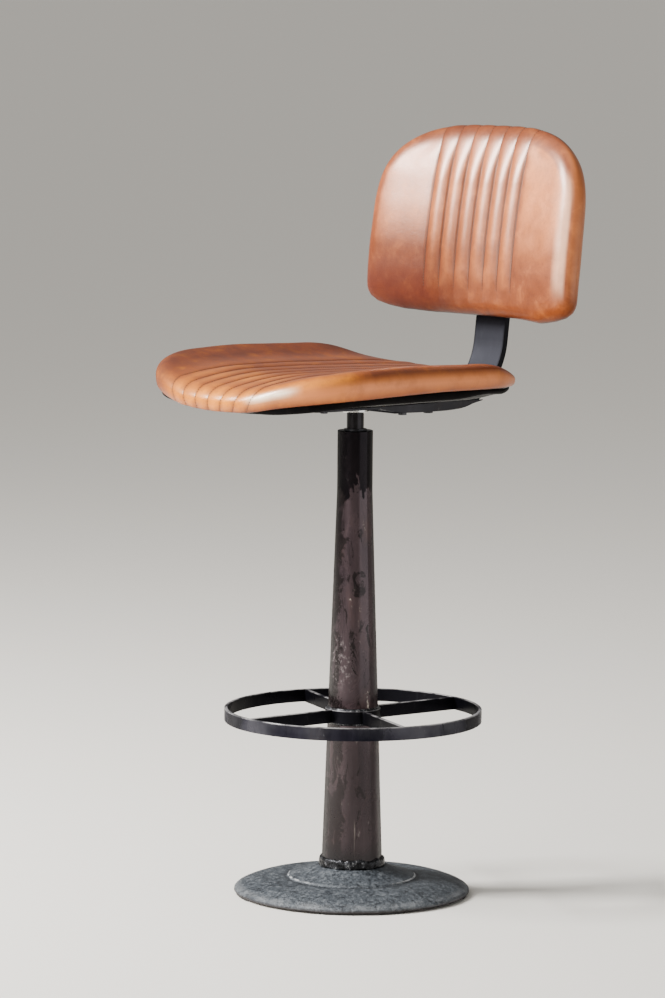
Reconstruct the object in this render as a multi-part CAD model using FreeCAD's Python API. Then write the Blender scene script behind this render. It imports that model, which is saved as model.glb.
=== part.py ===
import FreeCAD, Part
import math
import os

# Swivel bar chair on a round iron foot.
# Millimetres, +Z up, origin on the floor under the column's axis.
# The sitter faces -Y; the sitter's left is +X.

V = FreeCAD.Vector

# ------------------------------------------------------------------ sizes
# iron foot
FOOT_R = 175.0            # outside radius of the casting
FOOT_GAP = 3.0            # the rim stands this far off the floor on its pads
STEP_R = 94.5             # raised step on the dome
BOSS_R = 50.0             # flat seat for the column
BOSS_Z = 42.0
PAD_R_IN, PAD_R_OUT = 161.0, 172.0
PAD_ARC = 42.0            # degrees of each rubber arc
PAD_MID = (-36.0, 54.0, 144.0, 234.0)

# column
COL_R_FOOT = 45.3
COL_R_TOP = 26.2
COL_TAPER_TOP_Z = 603.0   # straight sleeve above this
COL_TOP_Z = 691.5
COL_WALL = 3.0
BORE_R = 23.0             # bore that takes the bushes
LEDGE_Z = 545.0
LEDGE_R = 20.0

# swivel
STEM_R = 12.7
RUN_GAP = 0.05            # radial running clearance in the bushes
STEM_END_Z = 566.0
BALL_R = 6.0
BALL_Z = 563.0

# foot ring
HOOP_R = 190.9
HOOP_T = 4.8
BAR_H = 19.05
RING_TOP = 278.2
SPOKE_T = 4.8
SPOKE_ANG = (84.0, 160.5, 265.0, 341.0)
COLLAR_T = 3.2

# carrier under the seat
WEB_TOP = 727.0
WEB_T = 3.0
BAR_W = 64.0
BAR_T = 9.0
FLANGE_T = 3.0
BEND_R = 100.0            # radius on the bar's upper (front) face
BEND_Y = 170.0            # where the bar starts to turn up
LEAN = 7.0                # recline of the back, degrees
BAR_END_H = 104.0         # bar's upper end, along the back
BAR_START_Y = 50.0

# seat
SEAT_HALF = [(0, -285), (80, -280), (150, -256), (196, -208), (215, -140),
             (213, -40), (205, 55), (188, 132), (149, 180), (76, 195.5), (0, 194.5)]
PAN_T = 12.0
PAN_INSET = 9.0
SKIN = 2.0                # leather with its scrim

# back, in its own plane: half width against height
BACK_ORG_Y = 242.0
BACK_ORG_Z = 860.0
BACK_HALF = [(0, -9.0), (90, -9.5), (163, -11.5), (202, -7.0), (219, 8), (223.5, 38), (223.5, 80),
             (222.5, 120), (221, 160), (215, 192), (202, 219), (178, 243), (149, 259.5),
             (113, 270.5), (70, 276), (0, 277.5)]
BACK_WRAP = 18.0          # the edges come forward by this much
BACK_HALF_W = 215.0

OUT = {}


def add(name, shape):
    if name in OUT:
        raise ValueError(name)
    OUT[name] = shape


def revolve(pts):
    """closed (r, z) profile of straight runs turned about Z"""
    vs = [V(r, 0, z) for r, z in pts]
    w = Part.makePolygon(vs + [vs[0]])
    return Part.Face(w).revolve(V(0, 0, 0), V(0, 0, 1), 360)


def cyl(r, z0, z1, x=0.0, y=0.0):
    return Part.makeCylinder(r, z1 - z0, V(x, y, z0), V(0, 0, 1))


def tube(ro, ri, z0, z1, x=0.0, y=0.0):
    return cyl(ro, z0, z1, x, y).cut(cyl(ri, z0 - 1, z1 + 1, x, y))


def box(x0, x1, y0, y1, z0, z1):
    return Part.makeBox(x1 - x0, y1 - y0, z1 - z0, V(x0, y0, z0))


def hexa(af, z0, z1, x=0.0, y=0.0, turn=0.0):
    r = af / math.sqrt(3.0)
    vs = [V(x + r * math.cos(math.radians(60 * i + turn)), y + r * math.sin(math.radians(60 * i + turn)), z0)
          for i in range(6)]
    f = Part.Face(Part.makePolygon(vs + [vs[0]]))
    s = f.extrude(V(0, 0, z1 - z0))
    # the corners are rounded off towards both faces, as on a turned hexagon
    k = Part.makeSphere(math.hypot(0.95 * r, (z1 - z0) / 2.0), V(x, y, (z0 + z1) / 2.0))
    return s.common(k)


def lerp_table(table, x):
    if x <= table[0][0]:
        return table[0][1]
    for (a, fa), (b, fb) in zip(table, table[1:]):
        if x <= b:
            t = (x - a) / (b - a)
            return fa + (fb - fa) * t
    return table[-1][1]


def smooth(t):
    t = max(0.0, min(1.0, t))
    return t * t * (3.0 - 2.0 * t)


def soft_table(table, x, r=14.0):
    """table value averaged over a short window, so the surface has no creases"""
    n = 9
    return sum(lerp_table(table, x + r * (2.0 * i / (n - 1) - 1.0)) for i in range(n)) / n


# ------------------------------------------------------- seat's surfaces
def seat_top(x, y):
    ax = abs(x) / 200.0
    side = 23.0 * ax ** 2.4
    side *= soft_table([(-300, 0.62), (-230, 0.86), (-170, 0.95), (-60, 1.0), (40, 1.04), (80, 1.12), (115, 1.06), (140, 0.85), (165, 0.5), (190, 0.2)], y)
    base = soft_table([(-300, 762), (-279, 767.5), (-255, 773.5), (-209, 781), (-165, 784.5),
                       (-60, 784.5), (60, 781), (150, 777.5), (200, 776)], y)
    k = smooth((abs(x) - 60.0) / 120.0)
    drop = soft_table([(-300, 21), (-279, 16), (-255, 10.5), (-209, 3), (-165, 0)], y)
    return base + drop * k + side


def pan_top(x, y):
    """upper skin of the shell: flat over the carrier, lifting to its rim"""
    ax = abs(x)
    run = 0.5 * (math.hypot(ax - 30.0, 8.0) + ax - 30.0)
    rise = 23.5 * (run / 177.0) ** 0.95
    # the rim drops at the front and is lower behind
    rise *= soft_table([(-290, 0.48), (-240, 0.73), (-190, 0.98), (-140, 1.02), (-80, 1.0), (80, 1.0), (150, 0.85), (200, 0.7)], y)
    rise += 11.0 * smooth((y - 120.0) / 70.0)
    fr = soft_table([(-300, 1.0), (-272, 0.85), (-235, 0.28), (-200, 0.0)], y)
    rise += fr * (11.0 - 8.0 * smooth((ax - 30.0) / 100.0))
    return WEB_TOP + 0.1 + PAN_T + rise


def height_face(fn, x0, x1, y0, y1, nx, ny, dz=0.0):
    rows = []
    for i in range(nx):
        x = x0 + (x1 - x0) * i / (nx - 1)
        rows.append([V(x, y0 + (y1 - y0) * j / (ny - 1), fn(x, y0 + (y1 - y0) * j / (ny - 1)) + dz)
                     for j in range(ny)])
    s = Part.BSplineSurface()
    s.interpolate(rows)
    return s.toShape()


def closed_wire(half, inset=0.0, n=96):
    left = [(-x, y) for x, y in half[1:-1]][::-1]
    pts = [V(x, y, 0) for x, y in list(half) + left]
    c = Part.BSplineCurve()
    c.interpolate(Points=pts, PeriodicFlag=True)
    if inset:
        # points moved inwards along the normal
        lo, hi = c.FirstParameter, c.LastParameter
        out = []
        for i in range(n):
            u = lo + (hi - lo) * i / n
            p = c.value(u)
            t = c.tangent(u)[0]
            nrm = V(-t.y, t.x, 0)
            cy = sum(q[1] for q in half) / len(half)
            if nrm.dot(V(-p.x, cy - p.y, 0)) < 0:
                nrm = nrm * -1.0
            out.append(p + nrm * inset)
        c = Part.BSplineCurve()
        c.interpolate(Points=out, PeriodicFlag=True)
    return Part.Wire(c.toShape())


def prism(wire, z0, z1):
    w = wire.copy()
    w.translate(V(0, 0, z0))
    return Part.Face(w).extrude(V(0, 0, z1 - z0))


# =================================================================== FOOT
outer = [(FOOT_R - 1.5, FOOT_GAP), (FOOT_R, 4.5), (174.6, 7.5), (172.0, 10.2), (168.0, 12.4), (162.0, 15.0),
         (155.0, 17.6), (148.0, 19.7), (140.0, 21.4), (131.0, 22.8), (118.0, 23.8), (104.0, 24.4), (98.0, 24.6),
         (96.6, 24.9), (95.4, 25.8), (STEP_R, 27.0), (93.0, 28.0), (90.0, 28.8), (82.0, 31.0), (72.0, 34.2),
         (62.0, 37.8), (55.0, 40.6), (52.5, 41.6), (BOSS_R, BOSS_Z), (6.8, BOSS_Z)]
inner = [(6.8, 17.0), (24.0, 17.0), (26.0, 19.0), (27.5, 31.0), (34.0, 32.0), (52.0, 30.0), (66.0, 25.6),
         (88.0, 18.4), (104.0, 14.6), (130.0, 13.2), (146.0, 11.0), (156.0, 8.6), (158.5, FOOT_GAP)]
foot = revolve(outer + inner)
rib_cut = revolve([(22.0, 14.0), (22.0, 33.0), (34.0, 33.5), (52.0, 31.5), (66.0, 27.0), (88.0, 20.0), (104.0, 16.0),
                   (130.0, 14.5), (147.0, 12.0), (157.0, 9.5), (159.5, 5.0), (150.0, 5.0)])
for i in range(6):
    rib = box(24.0, 159.0, -3.0, 3.0, 5.0, 34.0)
    rib.rotate(V(0, 0, 0), V(0, 0, 1), 9.0 + 60.0 * i)
    foot = foot.fuse(rib.common(rib_cut))
groove = revolve([(PAD_R_IN, 0.0), (PAD_R_OUT, 0.0), (PAD_R_OUT, 6.0), (PAD_R_IN, 6.0)])


def sector(mid, half, r=260.0, z0=-5.0, z1=60.0):
    a0, a1 = math.radians(mid - half), math.radians(mid + half)
    vs = [V(0, 0, z0)] + [V(r * math.cos(a0 + (a1 - a0) * k / 6.0), r * math.sin(a0 + (a1 - a0) * k / 6.0), z0)
                          for k in range(7)]
    return Part.Face(Part.makePolygon(vs + [vs[0]])).extrude(V(0, 0, z1 - z0))


pads = []
for mid in PAD_MID:
    g = groove.common(sector(mid, PAD_ARC / 2.0))
    foot = foot.cut(g)
    pads.append(g)
foot = foot.removeSplitter()
add("base_casting", foot)
add("glide_pads", Part.makeCompound(pads))

# ================================================================= COLUMN
slope = (COL_R_FOOT - COL_R_TOP) / (COL_TAPER_TOP_Z - BOSS_Z)


def col_r(z):
    return COL_R_TOP + max(0.0, COL_TAPER_TOP_Z - z) * slope


column = revolve([
    (COL_R_FOOT, BOSS_Z), (col_r(595.0), 595.0), (26.28, 604.0), (COL_R_TOP, 616.0), (COL_R_TOP, COL_TOP_Z - 0.8),
    (COL_R_TOP - 0.8, COL_TOP_Z), (BORE_R, COL_TOP_Z), (BORE_R, LEDGE_Z), (LEDGE_R, LEDGE_Z), (LEDGE_R, LEDGE_Z - 6.0),
    (col_r(528.0) - COL_WALL, 528.0), (COL_R_FOOT - COL_WALL, BOSS_Z)])
add("column_tube", column)

# weld bead round the column's foot, and the disc welded inside it
bead = revolve([(COL_R_FOOT, BOSS_Z), (BOSS_R - 0.2, BOSS_Z), (BOSS_R - 0.2, BOSS_Z + 3.0),
                (BOSS_R - 1.2, BOSS_Z + 7.5), (COL_R_FOOT + 1.8, BOSS_Z + 11.0), (COL_R_FOOT - 12.6 * slope, BOSS_Z + 12.6)])
bead = bead.cut(column)
add("column_weld", bead)
FOOT_DISC_T = 10.0
disc = revolve([(5.1, BOSS_Z), (COL_R_FOOT - COL_WALL, BOSS_Z),
                (COL_R_FOOT - COL_WALL - FOOT_DISC_T * slope, BOSS_Z + FOOT_DISC_T), (5.1, BOSS_Z + FOOT_DISC_T)])
disc = disc.cut(column)
add("column_foot_disc", disc)
add("tie_bolt", cyl(5.1, 15.0, BOSS_Z + FOOT_DISC_T + 3.0).fuse(hexa(19.0, 8.0, 15.0)).removeSplitter())
add("tie_washer", tube(14.0, 5.4, 15.0, 17.0))

# swivel inside the sleeve
bush_id = STEM_R + RUN_GAP
add("upper_bush", tube(BORE_R, bush_id, 660.0, COL_TOP_Z).fuse(tube(17.0, bush_id, COL_TOP_Z, COL_TOP_Z + 2.2)).removeSplitter())
add("lower_bush", tube(BORE_R, bush_id, 577.0, 601.0))
plug = cyl(BORE_R, LEDGE_Z, 560.0).cut(Part.makeSphere(BALL_R, V(0, 0, BALL_Z)))
add("thrust_plug", plug)
add("thrust_ball", Part.makeSphere(BALL_R, V(0, 0, BALL_Z)))

# ============================================================== FOOT RING
hoop = revolve([(HOOP_R - HOOP_T, RING_TOP - BAR_H + 0.5), (HOOP_R - HOOP_T + 0.5, RING_TOP - BAR_H),
                (HOOP_R - 0.6, RING_TOP - BAR_H), (HOOP_R, RING_TOP - BAR_H + 0.6), (HOOP_R, RING_TOP - 0.6),
                (HOOP_R - 0.6, RING_TOP), (HOOP_R - HOOP_T + 0.5, RING_TOP), (HOOP_R - HOOP_T, RING_TOP - 0.5)])
add("ring_hoop", hoop)
COLLAR_OUT = col_r(RING_TOP - BAR_H) + COLLAR_T
collar = revolve([(col_r(RING_TOP - BAR_H), RING_TOP - BAR_H), (COLLAR_OUT, RING_TOP - BAR_H), (COLLAR_OUT, RING_TOP - 0.6),
                  (COLLAR_OUT - 0.6, RING_TOP), (col_r(RING_TOP), RING_TOP)])
collar = collar.cut(column)
add("ring_collar", collar)
spokes = []
collar_cyl = cyl(COLLAR_OUT, RING_TOP - BAR_H - 1, RING_TOP + 1)
hoop_in = cyl(HOOP_R - HOOP_T, RING_TOP - BAR_H - 1, RING_TOP + 1)
for ang in SPOKE_ANG:
    s = box(30.0, 188.0, -SPOKE_T / 2, SPOKE_T / 2, RING_TOP - BAR_H, RING_TOP)
    s.rotate(V(0, 0, 0), V(0, 0, 1), ang)
    spokes.append(s.cut(collar_cyl).common(hoop_in))
add("ring_spokes", Part.makeCompound(spokes))
under = revolve([(col_r(RING_TOP - BAR_H), RING_TOP - BAR_H), (COLLAR_OUT - 0.4, RING_TOP - BAR_H),
                 (col_r(RING_TOP - BAR_H - 3.2) + 0.9, RING_TOP - BAR_H - 2.6), (col_r(RING_TOP - BAR_H - 3.2), RING_TOP - BAR_H - 3.2)])
over = revolve([(col_r(RING_TOP), RING_TOP), (COLLAR_OUT - 0.8, RING_TOP), (col_r(RING_TOP + 3.0) + 1.0, RING_TOP + 2.4),
                (col_r(RING_TOP + 3.0), RING_TOP + 3.0)])
add("ring_weld", Part.makeCompound([under.cut(column), over.cut(column)]))

# =========================================================== SWIVEL STEM
stem = cyl(STEM_R, STEM_END_Z, WEB_TOP - WEB_T)
stem = stem.cut(tube(STEM_R + 1.0, 11.0, 570.0, 572.0))
stem = stem.cut(Part.makeSphere(BALL_R + 0.3, V(0, 0, BALL_Z)))
lead = revolve([(STEM_R - 1.0, STEM_END_Z - 0.5), (STEM_R + 1.0, STEM_END_Z - 0.5), (STEM_R + 1.0, STEM_END_Z + 1.5)])
stem = stem.cut(lead)
add("swivel_stem", stem)
clip = tube(16.0, 11.0, 570.1, 571.9)
clip = clip.cut(box(0.0, 20.0, -3.0, 3.0, 569.0, 573.0))
add("stem_clip", clip)
add("stem_flange", revolve([(STEM_R, WEB_TOP - WEB_T - 5.6), (18.6, WEB_TOP - WEB_T - 5.6), (19.6, WEB_TOP - WEB_T - 4.6),
                            (19.6, WEB_TOP - WEB_T - 0.8), (18.8, WEB_TOP - WEB_T), (STEM_R, WEB_TOP - WEB_T)]))

# ========================================================= SEAT CARRIER
web_z = WEB_TOP - WEB_T
in_w = BAR_W / 2.0 + 0.3
out_w = in_w + FLANGE_T
web_pts = [(-23, -97), (-14, -102), (14, -102), (23, -97), (28, -88), (30, -74), (out_w - 2, -34), (out_w, -14),
           (out_w, 168), (-out_w, 168), (-out_w, -14), (-out_w + 2, -34), (-30, -74), (-28, -88)]
wv = [V(x, y, web_z) for x, y in web_pts]
web = Part.Face(Part.makePolygon(wv + [wv[0]])).extrude(V(0, 0, WEB_T))
leaf = [(17, 724.2), (30, 721.2), (45, 718.4), (58, 716.5), (72, 715.3), (95, 714.7), (121, 714.4), (150, 714.4),
        (168, 715.2), (187, 718.2), (200, 721.0), (212, 723.6), (222, 725.4), (225, 726.2), (225, 727.0), (17, 727.0)]
flanges = []
for sx in (-1, 1):
    fv = [V(sx * in_w, y, z) for y, z in leaf]
    flanges.append(Part.Face(Part.makePolygon(fv + [fv[0]])).extrude(V(sx * FLANGE_T, 0, 0)))
carrier = web.fuse(flanges[0]).fuse(flanges[1])
BRACKET_BOLTS = [(-18.0, -78.0), (18.0, -78.0), (-22.0, 33.0), (22.0, 33.0)]
BAR_BOLTS = [(0.0, 94.0), (0.0, 146.0)]
for x, y in BRACKET_BOLTS:
    carrier = carrier.cut(cyl(3.2, 700, 740, x, y))
for x, y in BAR_BOLTS:
    carrier = carrier.cut(cyl(4.2, 700, 740, x, y))
carrier = carrier.removeSplitter()
add("seat_carrier", carrier)

# back bar: one flat bar, flat under the seat, turned up behind it
bend_z = web_z + BEND_R
la = math.radians(LEAN)
turn = math.pi / 2.0 - la


def bar_edge(r):
    p0 = V(0, BAR_START_Y, bend_z - r)
    p1 = V(0, BEND_Y, bend_z - r)
    mid = V(0, BEND_Y + r * math.sin(turn / 2), bend_z - r * math.cos(turn / 2))
    p2 = V(0, BEND_Y + r * math.sin(turn), bend_z - r * math.cos(turn))
    return p0, p1, mid, p2


up = V(0, math.sin(la), math.cos(la))
fwd = V(0, -math.cos(la), math.sin(la))
org = V(0, BACK_ORG_Y, BACK_ORG_Z)
i0, i1, im, i2 = bar_edge(BEND_R)
o0, o1, om, o2 = bar_edge(BEND_R + BAR_T)
h_arc = (i2 - org).dot(up)
i3 = i2 + up * (BAR_END_H - h_arc)
o3 = o2 + up * (BAR_END_H - h_arc)
bar_wire = Part.Wire([Part.LineSegment(i0, i1).toShape(), Part.Arc(i1, im, i2).toShape(),
                      Part.LineSegment(i2, i3).toShape(), Part.LineSegment(i3, o3).toShape(),
                      Part.LineSegment(o3, o2).toShape(), Part.Arc(o2, om, o1).toShape(),
                      Part.LineSegment(o1, o0).toShape(), Part.LineSegment(o0, i0).toShape()])
bar = Part.Face(bar_wire).extrude(V(BAR_W, 0, 0))
bar.translate(V(-BAR_W / 2.0, 0, 0))
BAR_N = -(i2 - org).dot(fwd)          # bar's front face, behind the back's middle plane


def back_place(shape):
    """from the back's own plane (x across, y up the back, z forward) to the chair"""
    m = FreeCAD.Matrix(1, 0, 0, org.x,
                       0, up.y, fwd.y, org.y,
                       0, up.z, fwd.z, org.z,
                       0, 0, 0, 1)
    return shape.transformed(m)


# upper end of the bar: corners rounded
corner = box(-BAR_W, BAR_W, BAR_END_H - 16.0, BAR_END_H + 5.0, -BAR_N - BAR_T - 2, -BAR_N + 2)
keep = box(-BAR_W / 2 + 16, BAR_W / 2 - 16, BAR_END_H - 17.0, BAR_END_H, -BAR_N - BAR_T - 3, -BAR_N + 3)
for sx in (-1, 1):
    keep = keep.fuse(Part.makeCylinder(16.0, BAR_T + 6, V(sx * (BAR_W / 2 - 16), BAR_END_H - 16.0, -BAR_N - BAR_T - 3), V(0, 0, 1)))
bar = bar.cut(back_place(corner.cut(keep)))
BACK_SCREWS = [(-16.0, 30.0), (16.0, 30.0), (-16.0, 82.0), (16.0, 82.0)]
for x, y in BAR_BOLTS:
    bar = bar.cut(cyl(4.2, 700, 740, x, y))
for x, y in BACK_SCREWS:
    bar = bar.cut(back_place(Part.makeCylinder(3.3, BAR_T + 4, V(x, y, -BAR_N - BAR_T - 2), V(0, 0, 1))))
    bar = bar.cut(back_place(Part.makeCone(6.9, 3.3, 3.6, V(x, y, -BAR_N - BAR_T), V(0, 0, 1))))
add("back_bar", bar)

# fasteners under the seat
insert_top = WEB_TOP + PAN_T - 2.0
br_bolts = []
for k, (x, y) in enumerate(BRACKET_BOLTS):
    head = 2.4 if y < 0 else 4.0      # thin heads in front, where they are near the seat's underside edge
    br_bolts.append(cyl(3.0, web_z, insert_top, x, y).fuse(hexa(10.0, web_z - head, web_z, x, y, 12 + 17 * k)).removeSplitter())
add("carrier_bolts", Part.makeCompound(br_bolts))
inserts = [tube(4.6, 3.0, WEB_TOP, insert_top, x, y) for x, y in BRACKET_BOLTS]
add("insert_nuts", Part.makeCompound(inserts))
bar_low = web_z - BAR_T
bb, bw, bn = [], [], []
for k, (x, y) in enumerate(BAR_BOLTS):
    bb.append(cyl(4.0, bar_low - 1.4, WEB_TOP + 6.4, x, y).fuse(hexa(12.4, bar_low - 6.4, bar_low - 1.4, x, y, 17 + 31 * k)).removeSplitter())
    bw.append(tube(7.6, 4.2, bar_low - 1.4, bar_low, x, y))
    bn.append(hexa(13.0, WEB_TOP, WEB_TOP + 6.0, x, y, 5 + 20 * k).cut(cyl(4.0, WEB_TOP - 1, WEB_TOP + 8, x, y)))
add("bar_bolts", Part.makeCompound(bb))
add("bar_washers", Part.makeCompound(bw))
add("bar_nuts", Part.makeCompound(bn))

# ================================================================== SEAT
x_lim, y_lo, y_hi = 240.0, -300.0, 215.0
top_f = height_face(seat_top, -x_lim, x_lim, y_lo, y_hi, 25, 27)
pan_f = height_face(pan_top, -x_lim, x_lim, y_lo, y_hi, 33, 35)
pan_lo = height_face(pan_top, -x_lim, x_lim, y_lo, y_hi, 33, 35, -PAN_T)
below_top = top_f.extrude(V(0, 0, -200))
above_pan = pan_f.extrude(V(0, 0, 200))
pan = pan_f.extrude(V(0, 0, -PAN_T)).common(prism(closed_wire(SEAT_HALF, PAN_INSET), 690.0, 840.0))
for x, y in BRACKET_BOLTS:
    pan = pan.cut(cyl(4.6, 700, insert_top, x, y))
for x, y in BAR_BOLTS:
    pan = pan.cut(cyl(9.5, 700, WEB_TOP + 7.5, x, y))
add("seat_pan", pan)
cushion = prism(closed_wire(SEAT_HALF), 690.0, 860.0).common(below_top).common(above_pan)
foam_top = height_face(seat_top, -x_lim, x_lim, y_lo, y_hi, 25, 27, -SKIN)
foam = prism(closed_wire(SEAT_HALF, SKIN), 690.0, 860.0).common(foam_top.extrude(V(0, 0, -200))).common(above_pan)
add("seat_foam", foam)
add("seat_cover", cushion.cut(foam))

# ================================================================== BACK
def wrap(s):
    return BACK_WRAP * (s / BACK_HALF_W) ** 2


def back_front(s, h):
    """front skin of the padding: lumbar swell low down, thinning to the top"""
    lift = soft_table([(-40, 21.0), (0, 22.5), (40, 25.0), (90, 25.5), (150, 24.0), (200, 20.5), (240, 15.0),
                       (265, 8.5), (300, 1.0)], h, 10.0)
    e = max(0.0, (abs(s) - 170.0) / 50.0)
    return wrap(s) + lift - 6.0 * e * e


def back_mid(s, h):
    return wrap(s) - 2.0


def back_rear(s, h):
    a = 1.0 - smooth((abs(s) - 60.0) / 160.0)
    b = soft_table([(-40, 0.35), (0, 0.75), (40, 1.0), (120, 1.0), (180, 0.6), (240, 0.2), (290, 0.0)], h, 10.0)
    return wrap(s) - 20.5 - 10.5 * a * b


BOARD_T = 8.0
sx0, h0, h1 = 235.0, -30.0, 300.0
f_front = height_face(back_front, -sx0, sx0, h0, h1, 25, 25)
f_mid = height_face(back_mid, -sx0, sx0, h0, h1, 25, 25)
f_rear = height_face(back_rear, -sx0, sx0, h0, h1, 25, 25)
out_w = closed_wire(BACK_HALF)
in_wire = closed_wire(BACK_HALF, 12.0)
board = f_mid.extrude(V(0, 0, -BOARD_T)).common(prism(in_wire, -80, 80))
pad = prism(out_w, -60, 80).common(f_front.extrude(V(0, 0, -120))).common(f_mid.extrude(V(0, 0, 120)))
cover = prism(out_w, -60, 80).common(f_rear.extrude(V(0, 0, 120))).common(f_mid.extrude(V(0, 0, -120)))
cover = cover.cut(board)
in2 = closed_wire(BACK_HALF, SKIN)
f_front_in = f_front.copy()
f_front_in.translate(V(0, 0, -SKIN))
f_rear_in = f_rear.copy()
f_rear_in.translate(V(0, 0, SKIN))
back_foam = prism(in2, -60, 80).common(f_front_in.extrude(V(0, 0, -120))).common(f_mid.extrude(V(0, 0, 120)))
rear_pad = prism(in2, -60, 80).common(f_rear_in.extrude(V(0, 0, 120))).common(f_mid.extrude(V(0, 0, -120))).cut(board)
front_cover = pad.cut(back_foam)
rear_cover = cover.cut(rear_pad)
board_rear = -2.0 - BOARD_T           # on the middle line, where the screws are
sleeves, screws, nuts = [], [], []
for x, y in BACK_SCREWS:
    board = board.cut(Part.makeCylinder(5.0, 60, V(x, y, -40), V(0, 0, 1)))
    rear_pad = rear_pad.cut(Part.makeCylinder(7.0, 60, V(x, y, -64), V(0, 0, 1)))
    rear_cover = rear_cover.cut(Part.makeCylinder(7.0, 60, V(x, y, -64), V(0, 0, 1)))
    back_foam = back_foam.cut(Part.makeCylinder(5.4, 10, V(x, y, -8), V(0, 0, 1)))
    # steel sleeve from the board to the bar
    sl = Part.makeCylinder(7.0, BAR_N + board_rear - 0.05, V(x, y, -BAR_N), V(0, 0, 1))
    sl = sl.cut(Part.makeCylinder(3.3, 80, V(x, y, -60), V(0, 0, 1)))
    sl = sl.cut(f_mid.extrude(V(0, 0, 60))).cut(f_mid.extrude(V(0, 0, -BOARD_T)))
    sleeves.append(sl)
    zh = -BAR_N - BAR_T
    # countersunk screw, its head a little below the bar's face
    head = Part.makeCone(6.2, 3.0, 3.2, V(x, y, zh + 0.4), V(0, 0, 1))
    sock = Part.Face(Part.makePolygon([V(x + 2.3 * math.cos(math.radians(60 * i)), y + 2.3 * math.sin(math.radians(60 * i)), zh - 1)
                                       for i in range(7)])).extrude(V(0, 0, 3.6))
    screw = head.fuse(Part.makeCylinder(3.0, BAR_N + BAR_T - 0.4 - 3.0, V(x, y, zh + 0.4), V(0, 0, 1))).removeSplitter()
    screws.append(screw.cut(sock))
    nuts.append(Part.makeCylinder(5.0, BOARD_T + 3.0, V(x, y, board_rear + 0.4), V(0, 0, 1)).cut(
        Part.makeCylinder(3.0, 40, V(x, y, -20), V(0, 0, 1))))
add("back_board", back_place(board))
add("back_foam", back_place(back_foam))
add("back_front_cover", back_place(front_cover))
add("back_rear_pad", back_place(rear_pad))
add("back_rear_cover", back_place(rear_cover))
add("back_sleeves", back_place(Part.makeCompound(sleeves)))
add("back_screws", back_place(Part.makeCompound(screws)))
add("back_nuts", back_place(Part.makeCompound(nuts)))

# ================================================================ WRITE
os.makedirs("parts", exist_ok=True)
total = FreeCAD.BoundBox()
for name in sorted(OUT):
    s = OUT[name]
    s.exportStep("parts/" + name + ".step")
    b = s.BoundBox
    total.add(b)
    print("%-18s valid=%s solids=%d vol=%.1f cm3  x %.1f..%.1f y %.1f..%.1f z %.1f..%.1f" % (
        name, s.isValid(), len(s.Solids), s.Volume / 1000.0, b.XMin, b.XMax, b.YMin, b.YMax, b.ZMin, b.ZMax))
print("whole: x %.1f..%.1f y %.1f..%.1f z %.1f..%.1f" % (total.XMin, total.XMax, total.YMin, total.YMax, total.ZMin, total.ZMax))
print("nodes:", len(OUT), "bar face behind the middle plane: %.2f" % BAR_N)
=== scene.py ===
import math

import bpy
import numpy as np
from mathutils import Matrix, Vector


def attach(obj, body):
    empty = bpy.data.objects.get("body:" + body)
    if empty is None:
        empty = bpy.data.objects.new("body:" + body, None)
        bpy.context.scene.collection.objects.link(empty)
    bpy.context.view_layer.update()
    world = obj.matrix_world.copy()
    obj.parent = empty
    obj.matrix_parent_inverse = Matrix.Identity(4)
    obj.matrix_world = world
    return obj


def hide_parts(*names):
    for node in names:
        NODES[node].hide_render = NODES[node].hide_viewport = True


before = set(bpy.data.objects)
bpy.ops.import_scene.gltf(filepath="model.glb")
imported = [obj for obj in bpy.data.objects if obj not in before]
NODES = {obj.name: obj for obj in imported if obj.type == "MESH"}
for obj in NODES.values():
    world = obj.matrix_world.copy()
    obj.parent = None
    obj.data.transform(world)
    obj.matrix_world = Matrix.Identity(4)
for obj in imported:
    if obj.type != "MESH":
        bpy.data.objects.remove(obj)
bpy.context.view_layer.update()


MM = 0.001


# ------------------------------------------------------------------ camera
def make_camera():
    a, p, yaw, roll = (math.radians(v) for v in (48.0, 6.444, 0.288, 0.44))
    az = a + yaw
    c = Vector((6.523 * math.sin(a), -6.523 * math.cos(a), 1.3257))
    f = Vector((-math.sin(az) * math.cos(p), math.cos(az) * math.cos(p), -math.sin(p)))
    r = Vector((math.cos(az), math.sin(az), 0.0))
    u = r.cross(f)
    r2 = r * math.cos(roll) + u * math.sin(roll)
    u2 = u * math.cos(roll) - r * math.sin(roll)
    cam = bpy.data.cameras.new("camera")
    cam.sensor_fit = "AUTO"
    cam.sensor_width = 36.0
    cam.lens = 160.52
    cam.clip_start, cam.clip_end = 0.1, 12000.0
    ob = bpy.data.objects.new("camera", cam)
    bpy.context.scene.collection.objects.link(ob)
    ob.matrix_world = Matrix(((r2.x, u2.x, -f.x, c.x), (r2.y, u2.y, -f.y, c.y), (r2.z, u2.z, -f.z, c.z), (0, 0, 0, 1)))
    bpy.context.scene.camera = ob


make_camera()


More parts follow.
